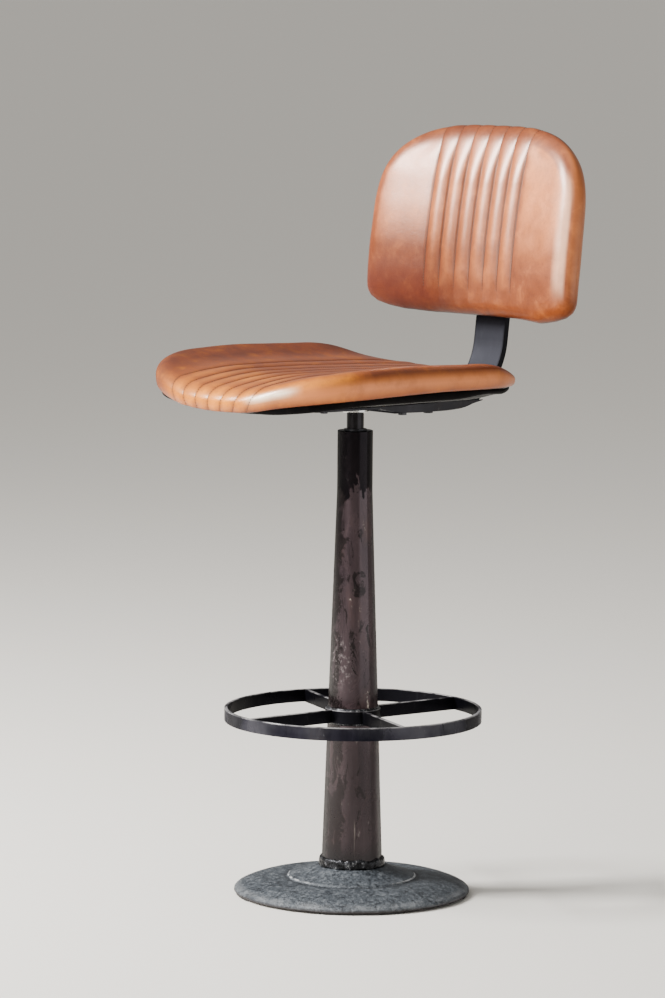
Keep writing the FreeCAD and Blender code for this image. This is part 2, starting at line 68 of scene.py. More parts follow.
# --------------------------------------------------------- material helper
class Mat:
    """a node material, with short names for the nodes that are used often"""

    def __init__(self, name):
        self.m = bpy.data.materials.new(name)
        self.m.use_nodes = True
        self.nt = self.m.node_tree
        self.nt.nodes.clear()
        self.out = self.nt.nodes.new("ShaderNodeOutputMaterial")
        self.b = self.nt.nodes.new("ShaderNodeBsdfPrincipled")
        self.link(self.b.outputs[0], self.out.inputs[0])
        self.tc = self.nt.nodes.new("ShaderNodeTexCoord")
        self.co = self.tc.outputs["Object"]

    def link(self, a, b):
        self.nt.links.new(a, b)

    def put(self, socket, v):
        if hasattr(v, "is_output") or hasattr(v, "links"):
            self.link(v, socket)
        else:
            socket.default_value = v

    def mapped(self, scale=(1, 1, 1), shift=(0, 0, 0), turn=(0, 0, 0), src=None):
        n = self.nt.nodes.new("ShaderNodeMapping")
        n.inputs["Scale"].default_value = scale
        n.inputs["Location"].default_value = shift
        n.inputs["Rotation"].default_value = turn
        self.link(src or self.co, n.inputs["Vector"])
        return n.outputs[0]

    def noise(self, scale, detail=4.0, rough=0.55, co=None, distort=0.0, lac=2.0):
        n = self.nt.nodes.new("ShaderNodeTexNoise")
        n.inputs["Scale"].default_value = scale
        n.inputs["Detail"].default_value = detail
        n.inputs["Roughness"].default_value = rough
        n.inputs["Distortion"].default_value = distort
        n.inputs["Lacunarity"].default_value = lac
        self.link(co or self.co, n.inputs["Vector"])
        return n.outputs[0]

    def cells(self, scale, feature="F1", co=None, rand=1.0):
        n = self.nt.nodes.new("ShaderNodeTexVoronoi")
        n.feature = feature
        n.inputs["Scale"].default_value = scale
        n.inputs["Randomness"].default_value = rand
        self.link(co or self.co, n.inputs["Vector"])
        return n.outputs["Distance"]

    def ramp(self, fac, stops, mode="LINEAR"):
        n = self.nt.nodes.new("ShaderNodeValToRGB")
        n.color_ramp.interpolation = mode
        e = n.color_ramp.elements
        while len(e) < len(stops):
            e.new(0.5)
        for el, (pos, col) in zip(e, stops):
            el.position = pos
            el.color = (*col, 1.0) if hasattr(col, "__len__") else (col, col, col, 1.0)
        self.link(fac, n.inputs[0])
        return n.outputs[0]

    def span(self, v, a, b, lo=0.0, hi=1.0):
        n = self.nt.nodes.new("ShaderNodeMapRange")
        n.interpolation_type = "SMOOTHSTEP"
        n.inputs[1].default_value, n.inputs[2].default_value = a, b
        n.inputs[3].default_value, n.inputs[4].default_value = lo, hi
        self.link(v, n.inputs[0])
        return n.outputs[0]

    def mix(self, fac, a, b, mode="MIX"):
        n = self.nt.nodes.new("ShaderNodeMix")
        n.data_type = "RGBA"
        n.blend_type = mode
        self.put(n.inputs[0], fac)
        for s, v in ((n.inputs[6], a), (n.inputs[7], b)):
            if isinstance(v, tuple):
                s.default_value = (*v, 1.0)
            else:
                self.link(v, s)
        return n.outputs[2]

    def math(self, op, a, b=None, clamp=False):
        n = self.nt.nodes.new("ShaderNodeMath")
        n.operation = op
        n.use_clamp = clamp
        self.put(n.inputs[0], a)
        if b is not None:
            self.put(n.inputs[1], b)
        return n.outputs[0]

    def attr(self, name):
        n = self.nt.nodes.new("ShaderNodeAttribute")
        n.attribute_name = name
        return n.outputs["Fac"]

    def xyz(self):
        n = self.nt.nodes.new("ShaderNodeSeparateXYZ")
        self.link(self.co, n.inputs[0])
        return n.outputs

    def radius(self):
        x, y, _ = self.xyz()
        return self.math("SQRT", self.math("ADD", self.math("MULTIPLY", x, x), self.math("MULTIPLY", y, y)))

    def edge_on(self, a=0.62, b=0.92, hi=1.0):
        """0 facing the eye, rising to hi edge-on; only used to weaken gloss there"""
        n = self.nt.nodes.new("ShaderNodeLayerWeight")
        n.inputs["Blend"].default_value = 0.5
        return self.span(n.outputs["Facing"], a, b, 0.0, hi)

    def bump(self, height, strength, distance, normal=None):
        n = self.nt.nodes.new("ShaderNodeBump")
        n.inputs["Strength"].default_value = strength
        n.inputs["Distance"].default_value = distance
        self.link(height, n.inputs["Height"])
        if normal is not None:
            self.link(normal, n.inputs["Normal"])
        return n.outputs[0]

    def done(self, color=None, rough=None, metal=None, normal=None, **fixed):
        b = self.b.inputs
        if color is not None:
            if isinstance(color, tuple):
                b["Base Color"].default_value = (*color, 1.0)
            else:
                self.link(color, b["Base Color"])
        if rough is not None:
            self.put(b["Roughness"], rough)
        if metal is not None:
            self.put(b["Metallic"], metal)
        if normal is not None:
            self.link(normal, b["Normal"])
        for k, v in fixed.items():
            b[k.replace("_", " ")].default_value = v
        return self.m


# -------------------------------------------------------------- materials
def leather(name, tone, pale, dark, warm, gloss, coat):
    """waxed full-grain leather: cloudy colour, darker pull at seams and edges together with painted shade, paler where
    rubbed and where light is painted in, with painted highlights and painted dark stripes, all from mesh attributes
    """
    k = Mat(name)
    big = k.noise(11.0, 3.0, 0.55, k.mapped((1, 1, 1), (3.1, 1.7, 0.4)))
    mid = k.noise(38.0, 5.0, 0.6, k.mapped((1, 1, 1), (0.4, 5.2, 2.2)), distort=0.4)
    fine = k.noise(210.0, 4.0, 0.65)
    patch = k.noise(26.0, 4.0, 0.6, k.mapped((1, 1, 1), (7.7, 0.3, 1.9)))
    col = k.mix(k.span(big, 0.33, 0.68), tone, warm)
    col = k.mix(k.math("MULTIPLY", k.span(mid, 0.48, 0.78), 0.40), col, pale)
    col = k.mix(k.math("MULTIPLY", k.span(mid, 0.50, 0.24), 0.40), col, dark)
    # paler where rubbed, and also painted light: paler rib crests, a paler front roll on the seat and paler side panels
    # on the back
    rub_and_painted_light = k.attr("rub_and_painted_light")
    col = k.mix(k.math("MULTIPLY", k.math("MULTIPLY", rub_and_painted_light, k.span(patch, 0.25, 0.62, 0.55, 1.0)), 0.80), col, pale)
    col = k.mix(k.math("MULTIPLY", k.span(fine, 0.45, 0.7), 0.18), col, dark)
    # darker at the rims, partly real darkening and partly painted shade: under the rolls, on the seat's top face and
    # far left side, at the back's top roll and lower part
    edge_wear_and_shade = k.attr("edge_wear_and_shade")
    col = k.mix(k.math("MULTIPLY", k.math("MULTIPLY", edge_wear_and_shade, k.span(patch, 0.7, 0.3, 0.72, 1.0)), 0.90), col, dark)
    # painted shade: a dark reddish stripe along the seat's right side roll and on the back's lower left
    col = k.mix(k.math("MULTIPLY", k.attr("streak"), k.span(patch, 0.7, 0.3, 0.70, 0.95)), col, (0.105, 0.028, 0.020))
    # dark stitched seams, with painted shade spread into the grooves beside the seat's seams
    seam_and_groove_shade = k.attr("seam_and_groove_shade")
    col = k.mix(k.math("MULTIPLY", seam_and_groove_shade, 0.80), col, (0.050, 0.012, 0.005))
    # painted light: a paler orange on the seat's lower right side and along the back's right border
    col = k.mix(k.math("MULTIPLY", k.attr("flank_painted_light"), k.span(patch, 0.25, 0.60, 0.60, 1.0)), col, (0.74, 0.245, 0.080))
    # painted highlight: near-white on the seat's front right roll and along the back's right border
    painted_highlight = k.attr("painted_highlight")
    col = k.mix(k.math("MULTIPLY", painted_highlight, k.span(patch, 0.25, 0.60, 0.75, 1.0)), col, (1.0, 0.86, 0.66))
    # painted shade: near-black where the seat's leather turns under and along the back's bottom and outer rim
    hem = k.attr("hem")
    col = k.mix(hem, col, (0.012, 0.005, 0.003))
    rough = k.math("ADD", k.span(mid, 0.3, 0.75, 0.33, 0.43), k.math("MULTIPLY", seam_and_groove_shade, 0.2))
    grain = k.cells(620.0, "SMOOTH_F1", k.mapped((1, 1, 1), (0, 0, 0), (0.4, 0.3, 0.2)))
    pore = k.cells(1500.0, "F1")
    crease = k.noise(70.0, 5.0, 0.65, k.mapped((1.0, 2.2, 1.6), (0, 0, 0), (0, 0, 0.5)), distort=1.2)
    n1 = k.bump(crease, 0.16, 0.0014)
    n2 = k.bump(grain, 0.15, 0.0005, n1)
    n3 = k.bump(pore, 0.07, 0.0003, n2)
    matte = k.math("MAXIMUM", edge_wear_and_shade, k.attr("matte"))
    k.put(k.b.inputs["Specular IOR Level"], k.math("MULTIPLY", k.math("SUBTRACT", 1.0, k.math("MULTIPLY", matte, 0.97)), gloss))
    k.put(k.b.inputs["Coat Weight"], k.math("ADD", k.math("MULTIPLY", k.math("SUBTRACT", 1.0, matte), coat), k.math("MULTIPLY", painted_highlight, 0.45)))
    k.b.inputs["Specular Tint"].default_value = (1.0, 0.68, 0.54, 1.0)
    return k.done(col, rough, 0.0, n3, Coat_Roughness=0.24, Coat_IOR=1.5)


def cast_iron(name):
    """sand-cast iron under blue-grey lacquer, pitted and mottled, rubbed paler on the rim, with a painted highlight
    along the step at its left and right sides as the camera sees it
    """
    k = Mat(name)
    r = k.radius()
    x, y, z = k.xyz()
    cloud = k.noise(9.0, 5.0, 0.6)
    blot = k.noise(52.0, 6.0, 0.75, distort=0.5)
    grit = k.noise(150.0, 5.0, 0.75)
    pit = k.cells(260.0, "F1")
    col = k.mix(k.span(cloud, 0.32, 0.7), (0.036, 0.044, 0.055), (0.070, 0.081, 0.094))
    col = k.mix(k.math("MULTIPLY", k.span(blot, 0.51, 0.64), 0.65), col, (0.115, 0.127, 0.142))
    col = k.mix(k.math("MULTIPLY", k.span(blot, 0.48, 0.36), 0.80), col, (0.018, 0.022, 0.028))
    col = k.mix(k.math("MULTIPLY", k.span(grit, 0.50, 0.62), 0.55), col, (0.19, 0.205, 0.22))
    col = k.mix(k.math("MULTIPLY", k.span(grit, 0.48, 0.38), 0.80), col, (0.010, 0.012, 0.016))
    speck = k.math("MULTIPLY", k.span(pit, 0.34, 0.16), k.span(k.noise(75.0, 3.0, 0.6), 0.44, 0.56))
    col = k.mix(k.math("MULTIPLY", speck, 0.8), col, (0.008, 0.009, 0.011))
    rim = k.math("MULTIPLY", k.span(r, 0.160, 0.172), k.span(z, 0.004, 0.012))
    # painted highlight: the step's rim is lit up only at its left and right sides as seen from the camera
    across = k.math("ABSOLUTE", k.math("ADD", k.math("MULTIPLY", x, 0.665), k.math("MULTIPLY", y, 0.747)))
    view_side_ends = k.span(across, 0.052, 0.088, 0.05, 1.0)
    lightened = k.math("MULTIPLY", rim, 0.55)
    patchy = k.span(k.noise(42.0, 4.0, 0.7), 0.36, 0.62)
    col = k.mix(k.math("MULTIPLY", k.math("MULTIPLY", lightened, patchy), 0.75), col, (0.28, 0.29, 0.30))
    painted_step_glint = k.math("MULTIPLY", k.math("MULTIPLY", k.span(r, 0.0926, 0.0937), k.span(r, 0.0955, 0.0946)), view_side_ends)
    col = k.mix(k.math("MULTIPLY", painted_step_glint, k.span(k.noise(60.0, 3.0, 0.6), 0.36, 0.54)), col, (0.46, 0.47, 0.48))
    low = k.span(z, 0.0085, 0.003)
    col = k.mix(k.math("MULTIPLY", low, 0.85), col, (0.020, 0.011, 0.009))
    groove = k.math("MULTIPLY", k.span(r, 0.0955, 0.0975), k.span(r, 0.105, 0.0985))
    col = k.mix(k.math("MULTIPLY", groove, 0.65), col, (0.016, 0.018, 0.022))
    rough = k.span(grit, 0.3, 0.7, 0.45, 0.72)
    n1 = k.bump(blot, 0.55, 0.0030)
    n2 = k.bump(grit, 0.90, 0.0022, n1)
    n3 = k.bump(speck, -0.70, 0.0018, n2)
    return k.done(col, rough, 0.35, n3, Specular_IOR_Level=0.5)


def patina(name, base, tint, rust, fleck, rough_lo=0.22, rough_hi=0.42, marks=1.0):
    """dark lacquer over raw steel, with streaks, scuffs and pale chips"""
    k = Mat(name)
    streak = k.noise(26.0, 5.0, 0.6, k.mapped((1.0, 1.0, 0.16), (1.1, 0.2, 0.0)))
    blot = k.noise(17.0, 6.0, 0.62, k.mapped((1, 1, 0.55), (4.2, 2.0, 0.7)), distort=0.7)
    fine = k.noise(160.0, 5.0, 0.7, k.mapped((1, 1, 0.4)))
    col = k.mix(k.span(streak, 0.34, 0.68), base, tint)
    col = k.mix(k.math("MULTIPLY", k.span(blot, 0.50, 0.74), 0.65), col, rust)
    col = k.mix(k.math("MULTIPLY", k.span(fine, 0.52, 0.75), 0.30), col, tint)
    chips = k.math("MULTIPLY", k.span(fine, 0.60, 0.66), k.span(blot, 0.55, 0.64))
    scrape = k.math("MULTIPLY", k.span(k.noise(70.0, 3.0, 0.6, k.mapped((1, 1, 0.05), (0.2, 0.9, 3.0))), 0.70, 0.76), 0.6)
    mark = k.math("MULTIPLY", k.math("MAXIMUM", chips, scrape), marks)
    col = k.mix(mark, col, fleck)
    rough = k.math("ADD", k.span(blot, 0.35, 0.7, rough_lo, rough_hi), k.math("MULTIPLY", mark, 0.15))
    n1 = k.bump(blot, 0.10, 0.0015)
    n2 = k.bump(fine, 0.16, 0.0004, n1)
    n3 = k.bump(mark, 0.20, 0.0003, n2)
    return k, col, rough, n3


def steel(name, lo, hi, rough=(0.28, 0.45), metal=0.9, scale=(1, 1, 1), bump=0.12):
    k = Mat(name)
    a = k.noise(30.0, 5.0, 0.6, k.mapped(scale))
    f = k.noise(420.0, 4.0, 0.6, k.mapped(scale))
    col = k.mix(k.span(a, 0.3, 0.7), lo, hi)
    col = k.mix(k.math("MULTIPLY", k.span(f, 0.5, 0.75), 0.25), col, hi)
    r = k.span(a, 0.3, 0.7, rough[0], rough[1])
    n1 = k.bump(f, bump, 0.0003)
    return k.done(col, r, metal, n1)


def bar_steel(name):
    """hot-rolled flat bar, blue-grey mill scale, clear-lacquered, its arrises darker"""
    k = Mat(name)
    x, y, z = k.xyz()
    ax = k.math("ABSOLUTE", x)
    cloud = k.noise(14.0, 5.0, 0.6, k.mapped((1.0, 1.0, 0.45), (0.3, 2.1, 0.0)))
    fine = k.noise(190.0, 4.0, 0.65, k.mapped((1.0, 0.5, 0.3)))
    col = k.mix(k.span(cloud, 0.3, 0.7), (0.006, 0.006, 0.009), (0.014, 0.014, 0.019))
    col = k.mix(k.math("MULTIPLY", k.span(fine, 0.5, 0.75), 0.30), col, (0.030, 0.031, 0.037))
    low = k.span(z, 0.88, 0.80)
    col = k.mix(k.math("MULTIPLY", low, 0.45), col, (0.036, 0.037, 0.044))
    rim = k.span(ax, 0.0285, 0.0315)
    col = k.mix(k.math("MULTIPLY", rim, 0.85), col, (0.009, 0.009, 0.011))
    rough = k.span(cloud, 0.3, 0.7, 0.34, 0.50)
    n1 = k.bump(cloud, 0.10, 0.002)
    n2 = k.bump(fine, 0.18, 0.0005, n1)
    return k.done(col, k.math("ADD", rough, 0.12), 0.5, n2, Specular_IOR_Level=0.03)


def ring_paint(name):
    k, col, rough, nrm = patina(name, (0.006, 0.006, 0.010), (0.016, 0.015, 0.023), (0.030, 0.023, 0.024),
                                (0.22, 0.22, 0.24), 0.25, 0.42, 0.55)
    x, y, z = k.xyz()
    # painted highlight: the ring's top face is made pale grey in patches
    top = k.span(z, 0.2764, 0.2781)
    r = k.radius()
    lightened = k.math("MULTIPLY", top, k.span(k.noise(30.0, 4.0, 0.6), 0.34, 0.6))
    col = k.mix(k.math("MULTIPLY", lightened, 0.85), col, (0.50, 0.49, 0.50))
    face = k.math("MULTIPLY", k.span(r, 0.1898, 0.1906), k.span(k.noise(9.0, 4.0, 0.6, k.mapped((1, 1, 1), (2, 8, 1))), 0.40, 0.66))
    col = k.mix(k.math("MULTIPLY", face, 0.50), col, (0.085, 0.085, 0.098))
    inner = k.math("MULTIPLY", k.span(r, 0.1880, 0.1868), k.span(z, 0.2779, 0.2772))
    col = k.mix(k.math("MULTIPLY", inner, 0.85), col, (0.003, 0.003, 0.004))
    k.put(k.b.inputs["Specular IOR Level"], k.math("SUBTRACT", 0.25, k.edge_on(0.45, 0.85, 0.23)))
    k.b.inputs["Specular Tint"].default_value = (0.25, 0.25, 0.28, 1.0)
    return k.done(col, rough, 0.60, nrm)


def column_paint(name):
    k, col, rough, nrm = patina(name, (0.022, 0.0150, 0.0180), (0.057, 0.039, 0.044), (0.080, 0.048, 0.044),
                                (0.36, 0.32, 0.28), 0.18, 0.36, 1.0)
    x, y, z = k.xyz()
    side = k.math("ADD", k.math("MULTIPLY", x, -0.665), k.math("MULTIPLY", y, -0.747))
    left = k.span(side, 0.008, 0.024)
    fleck = k.math("MULTIPLY", k.span(k.cells(150.0, "F1", k.mapped((1, 1, 0.6))), 0.30, 0.18), k.span(k.noise(24.0, 5.0, 0.7), 0.57, 0.66))
    col = k.mix(k.math("MULTIPLY", fleck, 0.5), col, (0.24, 0.21, 0.20))
    rag = k.noise(48.0, 6.0, 0.7, k.mapped((1, 1, 0.5), (9.1, 2.2, 1.0)), distort=0.9)
    scab = k.span(k.math("ADD", rag, k.math("MULTIPLY", left, 0.14)), 0.56, 0.61)
    col = k.mix(k.math("MULTIPLY", scab, 0.85), col, (0.006, 0.004, 0.004))
    spot = k.math("MULTIPLY", k.span(k.noise(190.0, 5.0, 0.8, k.mapped((1, 1, 0.7), (3.3, 0.4, 0.0))), 0.52, 0.62),
                  k.math("MULTIPLY", k.math("MULTIPLY", k.span(z, 0.302, 0.330), k.span(z, 0.405, 0.360)), k.span(side, -0.004, 0.010)))
    col = k.mix(k.math("MULTIPLY", spot, 0.65), col, (0.22, 0.19, 0.195))
    lower = k.span(z, 0.27, 0.20)
    col = k.mix(k.math("MULTIPLY", lower, 0.35), col, (0.016, 0.011, 0.012))
    ragz = k.math("ADD", z, k.math("MULTIPLY", k.math("SUBTRACT", rag, 0.5), 0.16))
    sleeve = k.math("MAXIMUM", k.span(ragz, 0.606, 0.614), k.span(z, 0.638, 0.645))
    col = k.mix(k.math("MULTIPLY", sleeve, 0.93), col, (0.0022, 0.0016, 0.0026))
    foot = k.span(z, 0.085, 0.055)
    col = k.mix(k.math("MULTIPLY", foot, 0.7), col, (0.008, 0.008, 0.009))
    k.put(k.b.inputs["Coat Weight"], k.math("MULTIPLY", k.math("SUBTRACT", 0.30, k.math("MULTIPLY", sleeve, 0.22)), k.math("SUBTRACT", 1.0, k.edge_on(0.55, 0.85, 0.97))))
    k.put(k.b.inputs["Specular IOR Level"], k.math("SUBTRACT", 0.35, k.edge_on(0.55, 0.85, 0.33)))
    k.b.inputs["Specular Tint"].default_value = (0.25, 0.22, 0.24, 1.0)
    return k.done(col, rough, 0.55, nrm, Coat_Roughness=0.14)


def black_paint(name):
    k, col, rough, nrm = patina(name, (0.007, 0.006, 0.009), (0.015, 0.013, 0.018), (0.024, 0.020, 0.020),
                                (0.12, 0.12, 0.12), 0.30, 0.46, 0.3)
    return k.done(col, rough, 0.4, nrm, Specular_IOR_Level=0.4)


def rubber(name):
    k = Mat(name)
    f = k.noise(300.0, 3.0, 0.6)
    col = k.mix(k.span(f, 0.4, 0.7), (0.010, 0.010, 0.010), (0.022, 0.021, 0.020))
    return k.done(col, 0.75, 0.0, k.bump(f, 0.2, 0.0003))


def shell_paint(name):
    k = Mat(name)
    f = k.noise(90.0, 4.0, 0.6)
    g = k.noise(340.0, 3.0, 0.6, k.mapped((1, 0.2, 1)))
    col = k.mix(k.span(f, 0.35, 0.7), (0.002, 0.0016, 0.0018), (0.005, 0.004, 0.004))
    n1 = k.bump(g, 0.2, 0.0004)
    return k.done(col, k.span(f, 0.3, 0.7, 0.42, 0.6), 0.0, n1, Specular_IOR_Level=0.04)


def weld_metal(name):
    k = Mat(name)
    f = k.noise(260.0, 5.0, 0.7)
    g = k.noise(95.0, 4.0, 0.65)
    col = k.mix(k.span(g, 0.40, 0.60), (0.005, 0.005, 0.006), (0.036, 0.037, 0.042))
    col = k.mix(k.math("MULTIPLY", k.span(f, 0.52, 0.66), k.span(g, 0.50, 0.62)), col, (0.45, 0.45, 0.46))
    n1 = k.bump(f, 0.7, 0.0014)
    return k.done(col, k.span(f, 0.3, 0.7, 0.20, 0.45), 0.75, n1)


def thread_mat(name):
    k = Mat(name)
    f = k.noise(900.0, 2.0, 0.6)
    col = k.mix(k.span(f, 0.35, 0.7), (0.050, 0.018, 0.009), (0.150, 0.060, 0.028))
    return k.done(col, 0.6, 0.0, k.bump(f, 0.4, 0.0003), Sheen_Weight=0.15)


LEATHER_BACK = leather("leather_back", (0.290, 0.070, 0.016), (0.760, 0.230, 0.052), (0.058, 0.013, 0.010), (0.235, 0.053, 0.011), 1.0, 0.38)
LEATHER_SEAT = leather("leather_seat", (0.305, 0.078, 0.020), (0.800, 0.260, 0.012), (0.078, 0.032, 0.026), (0.250, 0.060, 0.016), 0.24, 0.26)
CAST = cast_iron("cast_foot")
COLUMN = column_paint("column_paint")
RING = ring_paint("ring_paint")
BAR = bar_steel("bar_steel")
BLACK = black_paint("black_paint")
RUBBER = rubber("foot_rubber")
SHELL = shell_paint("shell_paint")
WELD = weld_metal("weld_metal")
THREAD = thread_mat("seam_thread")
STEM = steel("stem_steel", (0.008, 0.007, 0.008), (0.020, 0.018, 0.020), (0.18, 0.28), 0.85)
BRIGHT = steel("bright_steel", (0.50, 0.50, 0.49), (0.68, 0.67, 0.65), (0.22, 0.35), 1.0)
PLAIN = steel("plain_steel", (0.32, 0.32, 0.32), (0.48, 0.48, 0.47), (0.30, 0.45), 1.0)
BRASS = steel("bush_brass", (0.45, 0.34, 0.15), (0.62, 0.50, 0.27), (0.28, 0.42), 1.0)
DARK = steel("dark_fastener", (0.030, 0.030, 0.033), (0.075, 0.075, 0.080), (0.30, 0.48), 0.85)


def dress(node, material):
    o = NODES[node]
    o.data.materials.clear()
    o.data.materials.append(material)


for names, material in (
    (("base_casting",), CAST),
    (("glide_pads",), RUBBER),
    (("column_tube",), COLUMN),
    (("ring_hoop", "ring_collar", "ring_spokes"), RING),
    (("ring_weld",), WELD),
    (("swivel_stem",), STEM),
    (("stem_flange",), BRIGHT),
    (("upper_bush",), DARK),
    (("lower_bush", "insert_nuts"), BRASS),
    (("seat_carrier",), BLACK),
    (("back_bar",), BAR),
    (("back_board",), SHELL),
    (("carrier_bolts", "bar_bolts", "bar_washers", "back_screws"), DARK),
    (("column_foot_disc", "tie_bolt", "tie_washer", "thrust_plug", "thrust_ball", "stem_clip", "bar_nuts", "back_sleeves", "back_nuts"), PLAIN),
):
    for node in names:
        dress(node, material)


# --------------------------------------------------- the part's own shapes
def lerp(table, x):
    t = np.array(table, float)
    return np.interp(x, t[:, 0], t[:, 1])


def soft(table, x, r=14.0):
    return sum(lerp(table, x + r * (2.0 * i / 8.0 - 1.0)) for i in range(9)) / 9.0


def smooth(t):
    t = np.clip(t, 0.0, 1.0)
    return t * t * (3.0 - 2.0 * t)


SEAT_HALF = [(0, -285), (80, -280), (150, -256), (196, -208), (215, -140),
             (213, -40), (205, 55), (188, 132), (149, 180), (76, 195.5), (0, 194.5)]
BACK_HALF = [(0, -9.0), (90, -9.5), (163, -11.5), (202, -7.0), (219, 8), (223.5, 38), (223.5, 80),
             (222.5, 120), (221, 160), (215, 192), (202, 219), (178, 243), (149, 259.5),
             (113, 270.5), (70, 276), (0, 277.5)]


def seat_top(x, y):
    side = 23.0 * (np.abs(x) / 200.0) ** 2.4
    side = side * soft([(-300, 0.62), (-230, 0.86), (-170, 0.95), (-60, 1.0), (40, 1.04), (80, 1.12), (115, 1.06), (140, 0.85), (165, 0.5), (190, 0.2)], y)
    base = soft([(-300, 762), (-279, 767.5), (-255, 773.5), (-209, 781), (-165, 784.5),
                 (-60, 784.5), (60, 781), (150, 777.5), (200, 776)], y)
    k = smooth((np.abs(x) - 60.0) / 120.0)
    drop = soft([(-300, 21), (-279, 16), (-255, 10.5), (-209, 3), (-165, 0)], y)
    return base + drop * k + side


def pan_top(x, y):
    ax = np.abs(x)
    run = 0.5 * (np.hypot(ax - 30.0, 8.0) + ax - 30.0)
    rise = 23.5 * (run / 177.0) ** 0.95
    rise = rise * soft([(-290, 0.48), (-240, 0.73), (-190, 0.98), (-140, 1.02), (-80, 1.0), (80, 1.0), (150, 0.85), (200, 0.7)], y)
    rise = rise + 11.0 * smooth((y - 120.0) / 70.0)
    fr = soft([(-300, 1.0), (-272, 0.85), (-235, 0.28), (-200, 0.0)], y)
    return 739.1 + rise + fr * (11.0 - 8.0 * smooth((ax - 30.0) / 100.0))


def wrap(s):
    return 18.0 * (s / 215.0) ** 2


def back_front(s, h):
    lift = soft([(-40, 8.0), (-5, 16.0), (18, 20.5), (45, 24.0), (90, 25.5), (150, 24.0), (200, 20.5), (240, 15.0),
                 (265, 8.5), (300, 1.0)], h, 10.0)
    e = np.maximum(0.0, (np.abs(s) - 170.0) / 50.0)
    return wrap(s) + lift - 6.0 * e * e


def back_rear(s, h):
    a = 1.0 - smooth((np.abs(s) - 60.0) / 160.0)
    b = soft([(-40, 0.35), (0, 0.75), (40, 1.0), (120, 1.0), (180, 0.6), (240, 0.2), (290, 0.0)], h, 10.0)
    return wrap(s) - 20.5 - 10.5 * a * b


class Loop:
    """closed smooth outline through the half's points and their mirror images, starting at the front middle, anticlockwise"""

    def __init__(self, half, n=4800):
        left = [(-x, y) for x, y in half[1:-1]][::-1]
        p = np.array(list(half) + left, float)
        m = len(p)
        d = np.linalg.norm(np.roll(p, -1, 0) - p, axis=1)
        A, B = np.zeros((m, m)), np.zeros((m, 2))
        for i in range(m):
            hp, hn = d[i - 1], d[i]
            A[i, i - 1] += hp
            A[i, i] += 2.0 * (hp + hn)
            A[i, (i + 1) % m] += hn
            B[i] = 6.0 * ((p[(i + 1) % m] - p[i]) / hn - (p[i] - p[i - 1]) / hp)
        M = np.linalg.solve(A, B)
        t = np.concatenate([[0.0], np.cumsum(d)])
        s = np.linspace(0.0, t[-1], n, endpoint=False)
        k = np.clip(np.searchsorted(t, s, side="right") - 1, 0, m - 1)
        k2 = (k + 1) % m
        h = d[k][:, None]
        b = ((s - t[k]) / d[k])[:, None]
        a = 1.0 - b
        self.p = a * p[k] + b * p[k2] + ((a ** 3 - a) * M[k] + (b ** 3 - b) * M[k2]) * h * h / 6.0
        tan = np.roll(self.p, -1, 0) - np.roll(self.p, 1, 0)
        tan /= np.linalg.norm(tan, axis=1)[:, None]
        self.nrm = np.stack([tan[:, 1], -tan[:, 0]], 1)
        self.n = n

    def at(self, k, inset):
        k = np.mod(k, self.n)
        i = np.floor(k).astype(int)
        f = (k - i)[:, None]
        j = (i + 1) % self.n
        i = i % self.n
        p = self.p[i] * (1 - f) + self.p[j] * f
        q = self.nrm[i] * (1 - f) + self.nrm[j] * f
        q /= np.linalg.norm(q, axis=1)[:, None]
        return p - q * np.reshape(inset, (-1, 1)) if np.ndim(inset) else p - q * inset

    def finder(self, inset, axis, lo, hi):
        """index along the loop for a coordinate of the inset outline, between two indices"""
        kk = np.arange(lo, hi + 1)
        v = self.at(kk.astype(float), inset)[:, axis]
        if v[-1] < v[0]:
            kk, v = kk[::-1], v[::-1]
        return lambda x: np.interp(x, v, kk)


